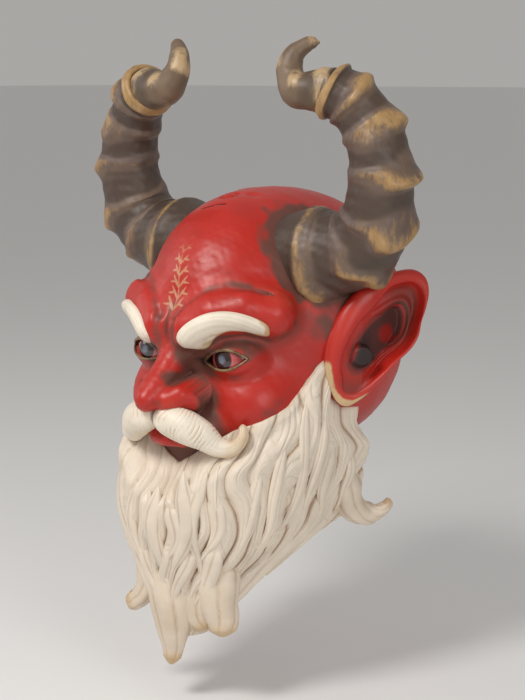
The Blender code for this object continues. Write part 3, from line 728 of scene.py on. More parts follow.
# The groove of the ring is darkened too, with wax and painted shade.
wax_and_shade = np.maximum(wax_and_shade, 0.55 * np.exp(-((ring_gap - 5.6) / 1.0) ** 2))
spots = spots - normals * (dent + 0.7 * crack)[:, None]
spots += normals * (outside * (0.16 * waves(spots, 9, 11) + 0.05 * waves(spots, 2.6, 12)))[:, None]

# %% The head as one piece
head_faces = [tuple(face.vertices) for face in cut_mesh.polygons]
head_layers = {"wax_and_shade": wax_and_shade, "high": high, "lip": lip, "sprig": sprig,
               "gold": np.zeros(len(spots)), "dark": np.maximum(dark, crack)}
head = build("carved_head", spots, head_faces, red_paint, **head_layers)
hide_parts("face_shell")
head.data.materials.append(bare_wood_finish)
middles = np.array([face.center for face in head.data.polygons])
middles = (middles - HEAD) / MM
bare = np.linalg.norm((middles - HOLLOW_CENTRE) / (HOLLOW_RADII * 1.015), axis=1) < 1
bare |= middles[:, 1] > WALL_Y - 0.4
bare |= ((middles > notch[0] - 0.5) & (middles < notch[1] + (0.5, 20, 0.5))).all(1)
from_bore = np.hypot(np.abs(middles[:, 0]) - EYE[0], middles[:, 2] - EYE[2])
bare |= (from_bore < BORE_RADIUS + 0.4) & (middles[:, 1] > BORE_ENDS[0] - 1)
head.data.polygons.foreach_set("material_index", bare.astype(np.int32))
print("the head spans", (spots.max(0) - spots.min(0)).round(1), "mm")

# %% [markdown]
# ## Eyes
# Each eye is a ball let into the head behind the lids, painted like a real one and then lacquered, so it is the
# glossiest place on the mask. What it shows depends only on the angle from the gaze: a grey-blue middle, which is a
# painted reflection, in a dark iris with a darker edge, and a white that goes from pink to deep red towards the
# corners.

# %% Eye paint
PINK, BLOOD = (0.52, 0.10, 0.10), (0.26, 0.008, 0.012)
GREY_BLUE, IRIS_DARK, LINER = (0.12, 0.14, 0.18), (0.022, 0.007, 0.008), (0.035, 0.012, 0.012)


def eye_paint():
    shop = Shop("eye_lacquer")
    gaze = shop.layer("gaze")
    fleck = shop.noise(1.3, 4, 0.6)
    white = shop.mix((gaze * 1.0 + (fleck - 0.5) * 0.25).ramp(0.40, 0.85), PINK, BLOOD)
    # The grey-blue middle is a painted reflection over the pupil.
    iris = shop.mix((gaze + (fleck - 0.5) * 0.15).ramp(0.09, 0.21), GREY_BLUE, IRIS_DARK)
    colour = shop.mix(gaze.ramp(0.385, 0.425), iris, white)
    edge = gaze.ramp(0.33, 0.385) * (1 - gaze.ramp(0.395, 0.44))
    colour = shop.mix(edge * 0.85, colour, LINER)
    return shop.finish(colour, 0.12 + fleck * 0.05, fleck, 0.03, Coat_Weight=1.0, Coat_Roughness=0.04)


eye_lacquer = eye_paint()

# %% Eye balls
BALL_RADIUS, BALL_RINGS, BALL_SPOKES = 16.0, 72, 96
GAZE = np.array((0.05, -1.0, 0.03))


def eye_ball(side):
    """A ball with its grid centred on the gaze, and a slight bulge over the iris. gaze is the angle from it."""
    ahead = GAZE * (side, 1, 1) / np.linalg.norm(GAZE)
    across = np.cross(ahead, (0, 0, 1))
    across /= np.linalg.norm(across)
    upward = np.cross(across, ahead)
    angle = np.linspace(0.01, math.pi - 0.01, BALL_RINGS)[:, None, None]
    turn = np.linspace(0, 2 * math.pi, BALL_SPOKES, endpoint=False)[None, :, None]
    ring = np.cos(turn) * across + np.sin(turn) * upward
    radius = BALL_RADIUS + 0.25 * np.exp(-((angle / 0.36) ** 4))
    points = (radius * (np.cos(angle) * ahead + np.sin(angle) * ring)).reshape(-1, 3)
    points = points + EYE * (side, 1, 1)
    gaze = np.repeat(angle.reshape(-1), BALL_SPOKES)
    return points, tube_faces(BALL_RINGS, BALL_SPOKES), {"gaze": gaze}


build_pair("painted_eye", "eye", eye_ball, eye_lacquer)

# %% [markdown]
# The lids' edges are picked out with a line of gold. Each is a thin bead laid along the rim of the almond-shaped
# opening, and the rim is found by walking the almond's outline onto the head from the front. The upper bead is
# heavier, as the real lid is.

# %% Gold lid beads
BEAD_RINGS, BEAD_SPOKES = 60, 14
UPPER_BEAD, LOWER_BEAD = 1.15, 0.85
IN_FRONT = -112.0  # clear of the face, where the walk starts


def bead_paint():
    shop = Shop("lid_gold")
    fleck = shop.noise(1.2, 5, 0.7)
    cloud = shop.noise(6, 3)
    colour = shop.mix((cloud + (fleck - 0.5) * 0.5).ramp(0.35, 0.7), (0.24, 0.155, 0.065), (0.10, 0.045, 0.025))
    return shop.finish(colour, 0.42 + fleck * 0.1, fleck, 0.08, Coat_Weight=0.25, Coat_Roughness=0.3)


lid_gold = bead_paint()


def bead(line, radii):
    """Points and faces of a thin tube with closed ends."""
    ahead = np.gradient(line, axis=0)
    ahead /= np.linalg.norm(ahead, axis=1)[:, None]
    across = np.cross(ahead, (0, 1, 0.01))
    across /= np.linalg.norm(across, axis=1)[:, None]
    other = np.cross(across, ahead)
    turn = np.linspace(0, 2 * math.pi, BEAD_SPOKES, endpoint=False)[None, :, None]
    ring = np.cos(turn) * across[:, None] + np.sin(turn) * other[:, None]
    points = (line[:, None] + ring * radii[:, None, None]).reshape(-1, 3)
    return points, tube_faces(len(line), BEAD_SPOKES)


def lid_line(side, arch):
    """A lid's edge on the head. arch is its greatest height over the line between the eye's corners."""
    inner, outer = np.array(EYE_CORNERS[0]), np.array(EYE_CORNERS[1])
    share = np.linspace(-1, 1, BEAD_RINGS)[:, None]
    line = (inner + outer) / 2 + share * (outer - inner) / 2 + (1 - share**2) * (0, 0, arch)
    way = np.tile((0.0, 1.0, 0.0), (BEAD_RINGS, 1))
    along = (outer - inner) / np.linalg.norm(outer - inner)
    half = np.linalg.norm(outer - inner) / 2
    for _ in range(4):
        line[:, 1] = IN_FRONT
        line = walk_to(lambda p: head_distance(p, False), line, way)
        wrong = share[:, 0] * half - (line - (inner + outer) / 2) @ along
        line[:, 0] += 0.8 * wrong / along[0]
    return line * (side, 1, 1)


taper = 0.55 + 0.45 * np.sin(np.linspace(0.15, math.pi - 0.15, BEAD_RINGS))
for word, side in SIDES:
    lids = Parts()
    for arch, thick in ((UPPER_LID, UPPER_BEAD), (-LOWER_LID, LOWER_BEAD)):
        line = lid_line(side, arch) + np.array((0, 0.1, 0.0))
        lids.add(*bead(line, thick * taper))
    beads = lids.build("lid_beads_" + word, lid_gold)
print("the lid line runs from", line[0].round(1), "to", line[-1].round(1))

# %% [markdown]
# ## Brows
# The brows are strips of wood glued on over the eyes, ivory with an ochre stain along the lower edge and round the
# outer end. Each is a flattened tube along an arc: its section is a low lens, and its ends are rounded. The arc
# lies on the head, because each of its points is walked onto the carving before it is lifted by the section.

# %% Brows
BROW_LINE = ((13.5, -15.5), (17, -10.5), (22, -4.5), (28.5, 0), (36, 2.5), (43.5, 2.0), (49, -1.0), (52.5, -4.0))
BROW_HALF_WIDTH = ((5.0,), (5.9,), (6.4,), (6.4,), (6.2,), (6.1,), (6.2,), (5.8,))
BROW_ROWS, BROW_COLUMNS = 150, 72
BROW_PROUD, BROW_SUNK = 4.2, 1.6


def brow(side):
    """A rounded strip: each point is walked onto the head, then lifted by the strip's own section."""
    line = smooth_line(BROW_LINE, BROW_ROWS)
    half = smooth_line(BROW_HALF_WIDTH, BROW_ROWS)[:, 0]
    share = np.linspace(0, 1, BROW_ROWS)
    ends = np.clip(1 - np.abs(2 * share - 1) ** 9, 0.0, 1) ** 0.5
    half = np.maximum(half * ends, 0.05)
    ahead = np.gradient(line, axis=0)
    ahead /= np.linalg.norm(ahead, axis=1)[:, None]
    across = np.stack([-ahead[:, 1], ahead[:, 0]], 1)
    turn = np.linspace(0, 2 * math.pi, BROW_COLUMNS, endpoint=False)
    flat = line[:, None] + across[:, None] * (half[:, None] * np.cos(turn)[None])[:, :, None]
    flat = flat.reshape(-1, 2)
    starts = np.stack([flat[:, 0], np.full(len(flat), -118.0), flat[:, 1]], 1)
    way = np.tile((0.10, 0.9, -0.05), (len(starts), 1))
    way /= np.linalg.norm(way, axis=1)[:, None]
    skin = walk_to(lambda p: head_distance(p, False), starts - way * 10 * (1, 0, 1), way)
    section = np.sin(turn) * np.where(np.sin(turn) > 0, BROW_PROUD, BROW_SUNK)
    lift = (section[None, :] * np.sqrt(half / half.max())[:, None]).reshape(-1)
    direction = np.array((0.35, -0.9, 0.12))
    direction /= np.linalg.norm(direction)
    points = skin + direction * (lift[:, None] + 0.3)
    across_share = np.tile(np.cos(turn), BROW_ROWS)
    groove = np.sin(across_share * 13 + np.repeat(share, BROW_COLUMNS) * 9) * 0.10 * np.clip(lift, 0, 1)
    points = points + direction * groove[:, None]
    outer_end = np.repeat(step(0.72, 0.98, share), BROW_COLUMNS)
    lower = np.clip(0.45 - 0.75 * across_share, 0, 1)
    edge = 1 - step(0.6, 2.6 + 1.2 * outer_end, lift + 0.6 * waves(points, 4, 35))
    edge = edge * np.maximum(lower, outer_end)
    edge = np.maximum(edge, np.repeat(step(0.90, 0.97, 2 * share - 1), BROW_COLUMNS) * 0.9)
    valley = 0.35 * step(0.0, -0.1, groove) + 0.25 * edge
    layers = {"ochre": edge * 1.6, "valley": valley, "dark": np.zeros(len(points))}
    return points * (side, 1, 1), tube_faces(BROW_ROWS, BROW_COLUMNS), layers


build_pair("carved_brow", "brow", brow, brow_colour)

# %% [markdown]
# ## Horns
# A horn is a fat bar bent outwards, up and in again, with seven slanting ridges: narrow crests with broad hollows
# between them, strongest on the outer side of the bend. A cosine raised to a power makes the narrow crest. At the
# foot the horn spreads into a collar against the head, and at the top it ends in a cup with a rounded gold lip,
# which the small curled tip is let into.

# %% Horn bodies
HORN_RADII = ((29,), (29.5,), (28,), (25.5,), (23.5,), (21.5,), (20,), (18.5,), (17.5,), (17.5,))
HORN_ROWS, HORN_COLUMNS, RIDGES = 420, 120, 7
HORN_BEND = np.array((62.0, -28.0, 92.0))  # the middle of the crook
ROOT_WALL = 3.5  # the wood that stays between a horn's root and the hollow
# The lip of the cup, from its outer edge to the floor: how far in, as a share of the rim, and how deep.
CUP_LIP = ((0.96, -1.3), (0.90, -2.1), (0.83, -2.2), (0.77, -1.3), (0.73, 0.4), (0.66, 2.2), (0.40, 3.4), (0.15, 3.6))
LIP_EDGE = 0.75


def rings_along(line, columns):
    """The way ahead at each point of a line, each column's turn, and a ring of directions square to the line."""
    ahead = np.gradient(line, axis=0)
    ahead /= np.linalg.norm(ahead, axis=1)[:, None]
    side = np.cross(ahead[0], (0, 1, 0))
    sides = []
    for way in ahead:
        side = side - way * (side @ way)
        side /= np.linalg.norm(side)
        sides.append(side)
    sides = np.array(sides)
    turn = np.linspace(0, 2 * math.pi, columns, endpoint=False)[None, :]
    ring = np.cos(turn)[:, :, None] * sides[:, None] + np.sin(turn)[:, :, None] * np.cross(ahead, sides)[:, None]
    return ahead, turn, ring


def waves_over(grid, size, seed):
    """waves for a grid of points, as a grid of numbers."""
    return waves(grid.reshape(-1, 3), size, seed).reshape(grid.shape[:2])


def horn(side):
    line = smooth_line(HORN_LINE, HORN_ROWS)
    radius = smooth_line(HORN_RADII, HORN_ROWS)[:, 0]
    ahead, _, ring = rings_along(line, HORN_COLUMNS)
    share = np.linspace(0, 1, HORN_ROWS)[:, None]
    outward = line - HORN_BEND
    outward /= np.linalg.norm(outward, axis=1)[:, None]
    out_share = np.einsum("rck,rk->rc", ring, outward)
    front_share = -ring[:, :, 1]
    slant = 0.020 + 0.006 * out_share + 0.012 * front_share
    phase = (share + slant) * RIDGES * 1.04 - 0.62
    bare = line[:, None] + ring * radius[:, None, None]
    wobble = waves_over(bare, 17, 21)
    crest = np.clip(0.5 + 0.5 * np.cos(2 * math.pi * (phase + 0.10 * wobble)), 0, 1) ** 3.0
    in_range = step(0.08, 0.20, share) * (1 - step(0.95, 0.99, share))
    height = (1.5 + 2.0 * np.clip(out_share, -0.4, 1)) * (1 + 0.35 * wobble) * in_range
    reach = radius[:, None] * 0.95 + height * crest - 0.6 * in_range * (1 - crest)
    flare = 2.6 * np.exp(-(((share - 0.155) / 0.028) ** 2))
    cup = step(0.962, 0.974, share)
    reach = reach + flare + 1.7 * cup - 1.2 * step(0.985, 1.0, share)
    reach = reach + 0.32 * wobble + 0.14 * waves_over(bare, 3.4, 22)
    points = line[:, None] + ring * reach[:, :, None]
    ridge = np.clip(crest * (0.30 + 0.6 * np.clip(out_share + 0.35, 0, 1)) * in_range + 0.10, 0, 1)
    collar = 0.75 * np.exp(-(((share - 0.165) / 0.02) ** 2))
    ridge = np.maximum(np.maximum(ridge, cup), collar)
    # This layer is painted shade: between the ridges, on the inner side of the bend, at the foot by the head, and on
    # the cup's floor.
    foot = 0.9 * (1 - step(0.10, 0.17, share))
    wax_and_shade = np.clip((1 - crest) ** 5 * in_range * 0.75 + 0.35 * np.clip(-out_share, 0, 1) + foot, 0, 1)
    rim, middle = points[-1], points[-1].mean(0)
    lip = np.array([middle + (rim - middle) * inward - ahead[-1] * sink for inward, sink in CUP_LIP])
    golden = np.array([[inward > LIP_EDGE] * HORN_COLUMNS for inward, _ in CUP_LIP])
    points = np.vstack([points, lip])
    layers = {"wax_and_shade": np.vstack([wax_and_shade, 0.9 * ~golden]).reshape(-1), "ridge": np.vstack([ridge, golden]).reshape(-1)}
    faces = tube_faces(len(points), HORN_COLUMNS)
    points = points.reshape(-1, 3)
    deep = np.linalg.norm((points - HOLLOW_CENTRE) / (HOLLOW_RADII + ROOT_WALL), axis=1)
    points = HOLLOW_CENTRE + (points - HOLLOW_CENTRE) / np.minimum(deep, 1)[:, None]
    return points * (side, 1, 1), faces, layers


build_pair("carved_horn", "horn", horn, horn_colour)

# %% [markdown]
# The tips are small crescents, brown like the horns and rubbed with pale gold, which also lightens their upper side as
# a painted highlight; they are darker, as painted shade, low in the cup and on the inner side towards the hook. They
# start wide inside the cup and end in a hook, so the same bent bar is used, with soft dents in place of the ridges.

# %% Horn tips
TIP_LINE = ((77, -35, 137), (68, -38, 137), (58, -41, 136), (50, -41, 140), (46, -39, 149), (47, -36, 158),
            (53, -31, 164), (59, -27, 165))
TIP_RADII = ((13,), (12.5,), (11.3,), (9.8,), (8.0,), (6.3,), (4.6,), (2.2,))
TIP_ROWS, TIP_COLUMNS = 220, 80


def horn_tip(side):
    line = smooth_line(TIP_LINE, TIP_ROWS)
    radius = smooth_line(TIP_RADII, TIP_ROWS)[:, 0]
    _, turn, ring = rings_along(line, TIP_COLUMNS)
    share = np.linspace(0, 1, TIP_ROWS)[:, None]
    radius = radius * np.sqrt(np.clip(1 - step(0.93, 1.0, share[:, 0]) * 0.9, 0.02, 1))
    dents = waves_over(line[:, None] + ring * radius[:, None, None], 9, 31)
    thread = np.clip(np.cos(share * 2 * math.pi * 5 + turn), 0, 1) ** 3
    reach = radius[:, None] * (1 + 0.045 * dents) + 0.5 * thread * (1 - share)
    points = (line[:, None] + ring * reach[:, :, None]).reshape(-1, 3)
    # The gold rises on the upper side: partly rubbed gold, partly a painted highlight.
    ridge = np.clip(0.35 + 0.35 * dents + 0.25 * ring[:, :, 2], 0, 1)
    # Painted shade low in the cup and on the inner side towards the hook.
    wax_and_shade = np.clip(0.75 - 1.2 * step(0.0, 0.55, share) + 0.25 * np.clip(-dents, 0, 1), 0, 1)
    wax_and_shade = np.maximum(wax_and_shade, 0.65 * step(0.75, 1.0, share) * np.clip(-ring[:, :, 0] * 0.5 + 0.5, 0, 1))
    layers = {"wax_and_shade": wax_and_shade.reshape(-1), "ridge": ridge.reshape(-1)}
    return points * (side, 1, 1), tube_faces(TIP_ROWS, TIP_COLUMNS), layers


build_pair("carved_horn_tip", "horn_tip", horn_tip, tip_colour)

# %% [markdown]
# ## Ears
# Each ear is a thick leaf of wood set on edge behind the temple. Its outline rises to a blunt point, its rim is
# rolled over, and inside it is scooped out to a bowl, painted nearly black as its shade, with a smooth ball in it. The
# valley under the rim is darkened too, partly wax and partly painted shade, and the rolled rim is lighter, partly wear
# and partly a painted highlight. The outline is one closed smooth line in the ear's own plane. Rings that shrink from
# that line to the bowl's middle carry the depth, so rim, valley and bowl follow the outline by themselves.

# %% Ear shape
EAR_MIDDLE = np.array((91.7, -0.4, -14.0))
EAR_ALONG = np.array((0.43, 0.90, 0.0)) / np.hypot(0.43, 0.90)
EAR_UP = np.array((0.0, 0.0, 1.0))
EAR_FACE = np.array((0.902, -0.431, 0.0))
EAR_OUTLINE = ((-39.9, -5.8), (-36.3, 5), (-28.5, 20), (-16.5, 32.5), (-1, 38.8), (13, 41.5), (22, 40.6), (27.6, 36),
               (29.2, 28), (27.2, 18.5), (23.8, 9.6), (21.7, 0.5), (16.5, -7.5), (5, -17), (-4, -26), (-13.6, -35.2),
               (-23, -41), (-30.5, -39.4), (-35, -32.5), (-38.6, -22.6), (-40.4, -14))
BOWL_LINE = ((-24, -13), (-21, -5), (-16, 2.5), (-9, 9), (0, 14.5), (7, 18.5), (12, 19.5), (15, 18), (16.8, 14),
             (16.8, 9), (15.8, 4.5), (13.5, 0), (9.5, -4), (3, -8), (-3, -12), (-8.5, -16), (-14, -19.5), (-18, -20.5),
             (-21, -20), (-23.2, -18), (-24.4, -15.5))
EAR_BALL = np.array((4.2, 1.5))
EAR_COLUMNS, EAR_RINGS, EAR_BACK_RINGS = 260, 90, 40
EAR_DEPTH, EAR_THICK, BACK_BOSS = 12.5, 9.0, 8.0


def closed_line(points):
    """A smooth closed line: the ends are repeated, so that it meets itself without a corner."""
    points = np.array(points, float)
    longer = np.vstack([points[-3:], points, points[:4]])
    fine = smooth_line(longer, 24 * (len(longer) - 1) + 1)[24 * 3: -24 * 3]
    gaps = np.concatenate([[0], np.cumsum(np.linalg.norm(np.diff(fine, axis=0), axis=1))])
    at = np.linspace(0, gaps[-1], EAR_COLUMNS, endpoint=False)
    return np.stack([np.interp(at, gaps, fine[:, i]) for i in range(2)], 1)


def ear(side):
    outer, inner = closed_line(EAR_OUTLINE), closed_line(BOWL_LINE)
    shift = min(range(EAR_COLUMNS), key=lambda k: np.abs(np.roll(inner, k, 0) - outer).sum())
    inner = np.roll(inner, shift, 0)
    middle = inner.mean(0)
    flat, depth, wax_and_shade, high, dark, gold = [], [], [], [], [], []
    # Outer face, from the widest line inwards: the rolled rim, the valley under it, and the bowl.
    for share in np.linspace(0, 1, EAR_RINGS):
        if share < 0.5:
            t = share / 0.5
            line = outer + (inner - outer) * t
            lobe = step(-18, -34, line[:, 1])
            back_edge = step(5, 25, line[:, 0]) * step(0, -14, line[:, 1])
            front_edge = step(-6, -20, line[:, 0] - 0.35 * line[:, 1]) * (1 - lobe)
            half_roll = 0.20 + 0.15 * front_edge
            roll = (3.4 + 1.8 * front_edge) * np.sqrt(np.clip(1 - ((t - half_roll) / half_roll) ** 2, 0, 1))
            sunk = np.clip((t - 0.28 - 0.26 * front_edge) / (0.34 - 0.04 * front_edge), 0, 1)
            valley = -6.0 * sunk ** 2 * (3 - 2 * sunk) * (1 - 0.75 * lobe) * (1 - 0.5 * back_edge)
            wall = 1.92 * np.exp(-((t - 0.86) / 0.10) ** 2) * (1 - lobe)
            height = roll * (1 - 0.35 * lobe) + valley - t ** 2 + wall
            upper = (0.20 + 0.40 * step(0, 25, line[:, 0] + line[:, 1] * 0.4)) * step(0.30, 0.55, t)
            # The valley under the rim, the lobe and the bowl's edge are darkened: wax and painted shade.
            wax_and_shade.append(upper * (1 - lobe) + 0.62 * lobe * step(0.15, 0.45, t) + 0.35 * step(0.8, 1.0, t))
            # The rim's roll counts as high: worn pinker and given a painted highlight.
            high.append(np.full(EAR_COLUMNS, 0.9 * np.exp(-((t - 0.18) / 0.16) ** 2)))
            dark.append(0.28 * step(0.86, 1.0, t) * (1 - lobe))
            front_low = step(-26, -38, line[:, 0]) * step(-8, -16, line[:, 1])
            under = step(-28, -38, line[:, 1]) * step(-2, -12, line[:, 0])
            gold.append(np.clip(front_low + under, 0, 1) * (0.9 * (1 - step(0.10, 0.30, t))))
        else:
            t = (share - 0.5) / 0.5
            line = inner + (middle - inner) * t
            height = np.full(EAR_COLUMNS, -7.0 - EAR_DEPTH * step(0.0, 0.42, t))
            ball = np.clip(1 - (np.linalg.norm(line - EAR_BALL, axis=1) / 7.2) ** 2, 0, 1)
            height = height + 7.5 * np.sqrt(ball)
            # A fold stands over the ear's peg, which comes through the wood here.
            fold = np.clip(1.5 * np.exp(-((line[:, 0] + 17.0) / 9.5) ** 2 - ((line[:, 1] + 10.0) / 8.5) ** 2), 0, 1)
            height = height * (1 - fold) + np.maximum(height, 2.4) * fold
            wax_and_shade.append(np.clip(0.75 - 0.9 * ball, 0, 1) * step(0.0, 0.10, t))
            high.append(np.full(EAR_COLUMNS, 0.1) + 0.3 * ball)
            # The bowl is painted nearly black as its shade, less so on the ball.
            deep = 0.28 + 0.42 * step(0.0, 0.25, t) + 0.18 * step(0, -20, line[:, 0])
            dark.append(np.clip(deep - 0.30 * ball + 0.15 * fold, 0, 1))
            gold.append(np.zeros(EAR_COLUMNS))
        flat.append(line)
        depth.append(np.broadcast_to(height, EAR_COLUMNS))
    # The back: the same outline, sinking in steps to a plain rounded boss on the far side.
    for t in np.linspace(0, 1, EAR_BACK_RINGS)[1:]:
        line = outer + (middle - outer) * t
        height = -EAR_THICK * (1 - (1 - min(t / 0.22, 1)) ** 2) ** 0.5 - BACK_BOSS * step(0.05, 0.85, t)
        flat.insert(0, line)
        depth.insert(0, np.full(EAR_COLUMNS, height))
        # The back darkens towards its middle: painted shade.
        wax_and_shade.insert(0, np.full(EAR_COLUMNS, 0.05 + 0.25 * t))
        high.insert(0, np.full(EAR_COLUMNS, 0.5 * (1 - t)))
        dark.insert(0, np.zeros(EAR_COLUMNS))
        gold.insert(0, np.zeros(EAR_COLUMNS))
    flat, depth = np.vstack(flat), np.concatenate(depth)
    lean = 0.0016 * flat[:, 1] ** 2 + 0.10 * np.clip(-flat[:, 0] - 12, 0, None) ** 1.25
    head_side = -3.6 - 0.28 * np.clip(flat[:, 0] + 15, 0, 40)
    front = np.arange(len(flat)) >= (EAR_BACK_RINGS - 1) * EAR_COLUMNS
    depth = np.where(front, np.maximum(depth - lean, head_side), depth - lean)
    points = EAR_MIDDLE + flat[:, :1] * EAR_ALONG + flat[:, 1:] * EAR_UP + depth[:, None] * EAR_FACE
    faces = tube_faces(len(points) // EAR_COLUMNS, EAR_COLUMNS)
    layers = {"wax_and_shade": np.concatenate(wax_and_shade), "high": np.concatenate(high), "dark": np.concatenate(dark),
              "gold": np.concatenate(gold), "lip": np.zeros(len(points)), "sprig": np.zeros(len(points))}
    points = points + EAR_FACE * (0.25 * waves(points, 9, 41) * step(-0.5, 0.0, depth + 12))[:, None]
    return points * (side, 1, 1), faces, layers


build_pair("carved_ear", "ear", ear, red_paint)

# %% [markdown]
# ## Moustache
# Each half of the moustache swells out from under the nose, droops, and curls up at its end. The body has short
# upright grooves across it, like combed hair seen end on, and the curl is smooth, and yellowed by handling. Its
# underside is painted ochre, and dark towards the curl, as painted shade.

# %% Moustache
MOUSTACHE_LINE = ((1.5, -107, -57), (9, -108, -59), (18, -104.5, -62), (27, -98.5, -67.5), (35, -93, -74.5),
                  (43, -89, -75), (47.5, -85, -68.5), (45.5, -82.5, -61))
MOUSTACHE_RADII = ((6.5,), (9.6,), (10.8,), (9.4,), (6.6,), (5.0,), (4.0,), (2.4,))
MOUSTACHE_ROWS, MOUSTACHE_COLUMNS, COMB_GROOVES = 320, 96, 33


def ridges(count):
    """Round-topped ridges with sharp valleys: 0 in a valley, 1 on top."""
    return np.abs(np.sin(math.pi * count)) ** 0.62


def moustache(side):
    line = smooth_line(MOUSTACHE_LINE, MOUSTACHE_ROWS)
    radius = smooth_line(MOUSTACHE_RADII, MOUSTACHE_ROWS)[:, 0]
    share = np.linspace(0, 1, MOUSTACHE_ROWS)
    rounding = np.sqrt(np.clip((1 - share) / 0.035, 0, 1)) * np.sqrt(np.clip(share / 0.02, 0, 1))
    radius = np.maximum(radius * rounding, 0.15)
    _, turn, ring = rings_along(line, MOUSTACHE_COLUMNS)
    body = (1 - step(0.42, 0.66, share))[:, None]
    around = turn + 0.35 * np.sin(3 * turn)
    comb = share[:, None] * COMB_GROOVES + 0.55 * np.sin(around) + 0.35 * waves_over(line[:, None] + ring * 8, 8, 81)
    patchy = 0.5 + 0.5 * waves_over(line[:, None] + ring * 9, 5, 82)
    groove = 1 - (1 - ridges(comb)) * np.clip(patchy + 0.15, 0.05, 1)
    fine = ridges(comb * 2.6 + 0.4)
    along = ridges(turn / math.pi * 3 + 1.2 * share[:, None])
    reach = radius[:, None] + body * (0.55 * groove + 0.18 * fine - 0.55) + (1 - body) * 0.30 * (along - 1)
    flatter_behind = np.where(ring[:, :, 1:2] > 0, 0.92, 1.0)
    points = (line[:, None] + ring * reach[:, :, None] * flatter_behind).reshape(-1, 3)
    valley = body * ((1 - groove) ** 1.6 * 0.95 + (1 - fine) ** 3 * 0.3) + (1 - body) * (1 - along) ** 2 * 0.5
    # Ochre towards the curl is yellowing from handling; ochre on the underside is painted shade.
    ochre = (0.62 * step(0.50, 0.80, share))[:, None] + 0.45 * np.clip(-ring[:, :, 2], 0, 1) ** 2
    # Dark on the underside towards the curl: painted shade under the moustache.
    dark = np.clip(-ring[:, :, 2] - 0.75, 0, 1) * 1.2 * step(0.3, 0.7, share)[:, None]
    layers = {"valley": valley.reshape(-1), "ochre": ochre.reshape(-1), "dark": dark.reshape(-1)}
    return points * (side, 1, 1), tube_faces(MOUSTACHE_ROWS, MOUSTACHE_COLUMNS), layers


build_pair("carved_moustache", "moustache", moustache, brow_colour)

# %% [markdown]
# ## Beard
# The beard is carved from three blocks. Its body is a deep curtain round the jaw: at each height its section is a
# rounded D, open at the back, and it closes to a point below. The carving on it is waves of hair. A strand keeps
# the same angle round the head from the hair line down, so the strands crowd together towards the point as hair
# does, and a few slow waves pull them from side to side. Height is then a sum of rounded ridges, broad locks first
# and fine strands on them.

# %% The beard's body
BEARD_SECTIONS = ((-14, 76, -60, 6), (-40, 77, -84, 6), (-62, 76, -102, 6), (-84, 75, -111, 6), (-105, 72, -114, 4),
                  (-125, 67, -114, -4), (-142, 57, -111, -28), (-160, 43, -107, -50), (-178, 30, -103, -66),
                  (-190, 22, -99, -74), (-199, 13, -96, -80))
SQUARENESS = 2.3
HAIR_LINE = ((0, -60), (10, -58), (18, -50), (24, -33), (28, -23), (31, -29), (33, -41), (38, -52), (47, -60),
             (56, -66), (66, -74), (78, -83), (90, -90))  # degrees from the left back edge, height
LOCKS_ROUND, SEAM_X, BACK_Y = 21, 40.0, -30.0
SUNK = 3.4  # the valleys lie this far under the plain curtain
section_table = smooth_line(BEARD_SECTIONS, 500)


def section(z):
    """Half width, front and back of the beard at each height."""
    return [np.interp(-z, -section_table[:, 0], section_table[:, i]) for i in (1, 2, 3)]


def squared(angle):
    """How far the rounded square reaches past a circle at each angle."""
    return (np.abs(np.cos(angle)) ** SQUARENESS + np.abs(np.sin(angle)) ** SQUARENESS) ** (-1 / SQUARENESS)


def curtain(angle, z):
    half, front, back = section(z)
    size = squared(angle)
    return np.stack([half * np.cos(angle) * size, back + (front - back) * np.sin(angle) * size, z], -1)


def outwards(points):
    """The level direction from the beard's middle line to each point."""
    out = points - np.stack([np.zeros_like(points[..., 2]), np.full_like(points[..., 2], BACK_Y), points[..., 2]], -1)
    return out / np.linalg.norm(out, axis=-1)[..., None]


def hair_top(angle):
    degrees = np.degrees(np.arccos(np.abs(np.cos(angle))))
    fine = np.linspace(-12, 102, 800)
    heights = np.interp(np.where(fine > 90, 180 - fine, np.abs(fine)), *np.array(HAIR_LINE).T)
    soft = np.convolve(heights, np.hanning(15) / np.hanning(15).sum(), "same")
    soft[:8], soft[-8:] = heights[:8], heights[-8:]
    return np.interp(degrees, fine, soft)


def flow(angle, z):
    """Which strand passes here, counted in locks round the beard, after the slow sideways waves."""
    down = -z / 100.0
    sway = 0.058 * np.sin(down * 8.0 + angle * 2.6 + 0.9) + 0.018 * np.sin(down * 14.0 - angle * 4.0 + 2.0)
    sway += 0.006 * np.sin(down * 24.0 + angle * 9.0)
    spot = np.stack([angle * 70, z * 0.32, np.zeros_like(z)], -1)
    wander = 0.028 * waves(spot.reshape(-1, 3), 11, 51).reshape(angle.shape)
    return (angle + sway * np.clip((down - 0.25) * 2.0, 0.15, 1.2) + wander) / math.pi * LOCKS_ROUND


